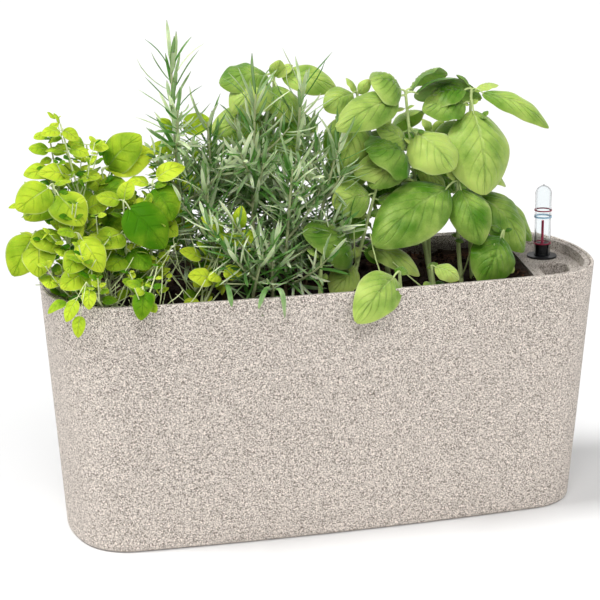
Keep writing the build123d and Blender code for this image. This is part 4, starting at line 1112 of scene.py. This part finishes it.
class PLANTER_OT_studio(bpy.types.Operator):
    """Set the camera, the pale floor and the soft light"""
    bl_idname = "planter.studio"
    bl_label = "Studio"

    def execute(self, context):
        setup = context.scene.studio_setup
        self.camera(context.scene, setup)
        self.floor()
        self.world(context.scene, setup)
        for name, toward, strength, spread in (
                ("key", (-0.52, 0.0, 0.86), setup.key_light, 16),
                ("fill", (0.75, -0.5, 0.43), setup.fill_light, 70),
                ("front", (-0.18, -0.69, 0.7), setup.front_light, 35)):
            self.lamp(context.scene, name, toward, strength, spread)
        context.scene.view_settings.view_transform = "Standard"
        return {"FINISHED"}

    def lamp(self, scene, name, toward, strength, spread):
        """A distant lamp in a direction, soft over a spread in degrees."""
        light = bpy.data.lights.new(name, "SUN")
        light.energy = strength
        light.angle = math.radians(spread)
        lamp = bpy.data.objects.new(name, light)
        lamp.matrix_world = Vector(toward).to_track_quat("Z", "Y").to_matrix().to_4x4()
        scene.collection.objects.link(lamp)

    def camera(self, scene, setup):
        """Place the camera on a sphere round its target and turn it about its line of sight."""
        a, e, r = setup.azimuth, setup.elevation, setup.roll
        back = Vector((math.sin(a) * math.cos(e), -math.cos(a) * math.cos(e), math.sin(e)))
        right = Vector((math.cos(a), math.sin(a), 0))
        up = back.cross(right)
        right, up = right * math.cos(r) + up * math.sin(r), up * math.cos(r) - right * math.sin(r)
        lens = bpy.data.cameras.new("camera")
        lens.sensor_fit = "HORIZONTAL"
        lens.sensor_width = 36.0
        lens.lens = setup.lens
        lens.clip_start = 0.01
        camera = bpy.data.objects.new("camera", lens)
        turn = Matrix((right, up, back)).transposed().to_4x4()
        camera.matrix_world = Matrix.Translation(Vector(setup.target) + back * setup.distance) @ turn
        scene.collection.objects.link(camera)
        scene.camera = camera

    def floor(self):
        """A wide pale floor that reads as white where no shadow falls."""
        finish = Finish("pale_floor", Roughness=0.9, Specular_IOR_Level=0.0, Emission_Strength=1.0)
        paper = finish.noise(6.0, 2.0)
        finish.feed("Base Color", finish.mix(paper, tint("E4E4E4"), tint("E8E8E8")))
        finish.feed("Emission Color", finish.mix(finish.seen(), (0, 0, 0, 1), (0.03, 0.03, 0.03, 1)))
        surface = Surface()
        half, drop = 9.0, 0.0002  # reach from the middle, and how far it lies under the base
        side = np.linspace(-half, half, 3)
        grid = np.stack(np.meshgrid(side, side), -1).reshape(-1, 2)
        surface.add(np.concatenate([grid, np.full((len(grid), 1), -drop)], -1), [grid_faces(3, 3)[:, ::-1]])
        surface.build("floor", [finish.material])

    def world(self, scene, setup):
        """Even white light, and a white background for what is seen directly, in gloss or through glass."""
        world = bpy.data.worlds.new("studio")
        scene.world = world
        world.use_nodes = True
        ground = world.node_tree.nodes["Background"]
        ground.inputs["Color"].default_value = (1, 1, 1, 1)
        nodes = Nodes(world.node_tree)
        level = nodes.node("ShaderNodeMix", None, {0: nodes.seen(), 2: setup.world_light, 3: 1.0})
        nodes.put(ground.inputs["Strength"], level)


class PLANTER_PT_sidebar(bpy.types.Panel):
    """Lists the steps that build the planter"""
    bl_idname = "PLANTER_PT_sidebar"
    bl_label = "Herb Planter"
    bl_space_type = "VIEW_3D"
    bl_region_type = "UI"
    bl_category = "Planter"

    def draw(self, context):
        for step in STEPS:
            self.layout.operator(step.bl_idname)


STEPS = (PLANTER_OT_shells, PLANTER_OT_soil, PLANTER_OT_indicator, PLANTER_OT_basil, PLANTER_OT_oregano,
         PLANTER_OT_rosemary, PLANTER_OT_studio)
SETTINGS = {"planter_shape": PlanterShape, "planter_finish": PlanterFinish, "herb_finish": HerbFinish,
            "studio_setup": StudioSetup}


def register():
    """Register the settings, the operators and the panel."""
    for name, group in SETTINGS.items():
        bpy.utils.register_class(group)
        setattr(bpy.types.Scene, name, bpy.props.PointerProperty(type=group))
    for made in (*STEPS, PLANTER_PT_sidebar):
        bpy.utils.register_class(made)


def unregister():
    """Undo register."""
    for made in (PLANTER_PT_sidebar, *reversed(STEPS)):
        bpy.utils.unregister_class(made)
    for name, group in reversed(SETTINGS.items()):
        delattr(bpy.types.Scene, name)
        bpy.utils.unregister_class(group)


def main():
    """Build the planter step by step."""
    register()
    bpy.ops.planter.shells()
    bpy.ops.planter.soil()
    bpy.ops.planter.indicator()
    bpy.ops.planter.basil()
    bpy.ops.planter.oregano()
    bpy.ops.planter.rosemary()
    bpy.ops.planter.studio()


if __name__ == "__main__":
    main()
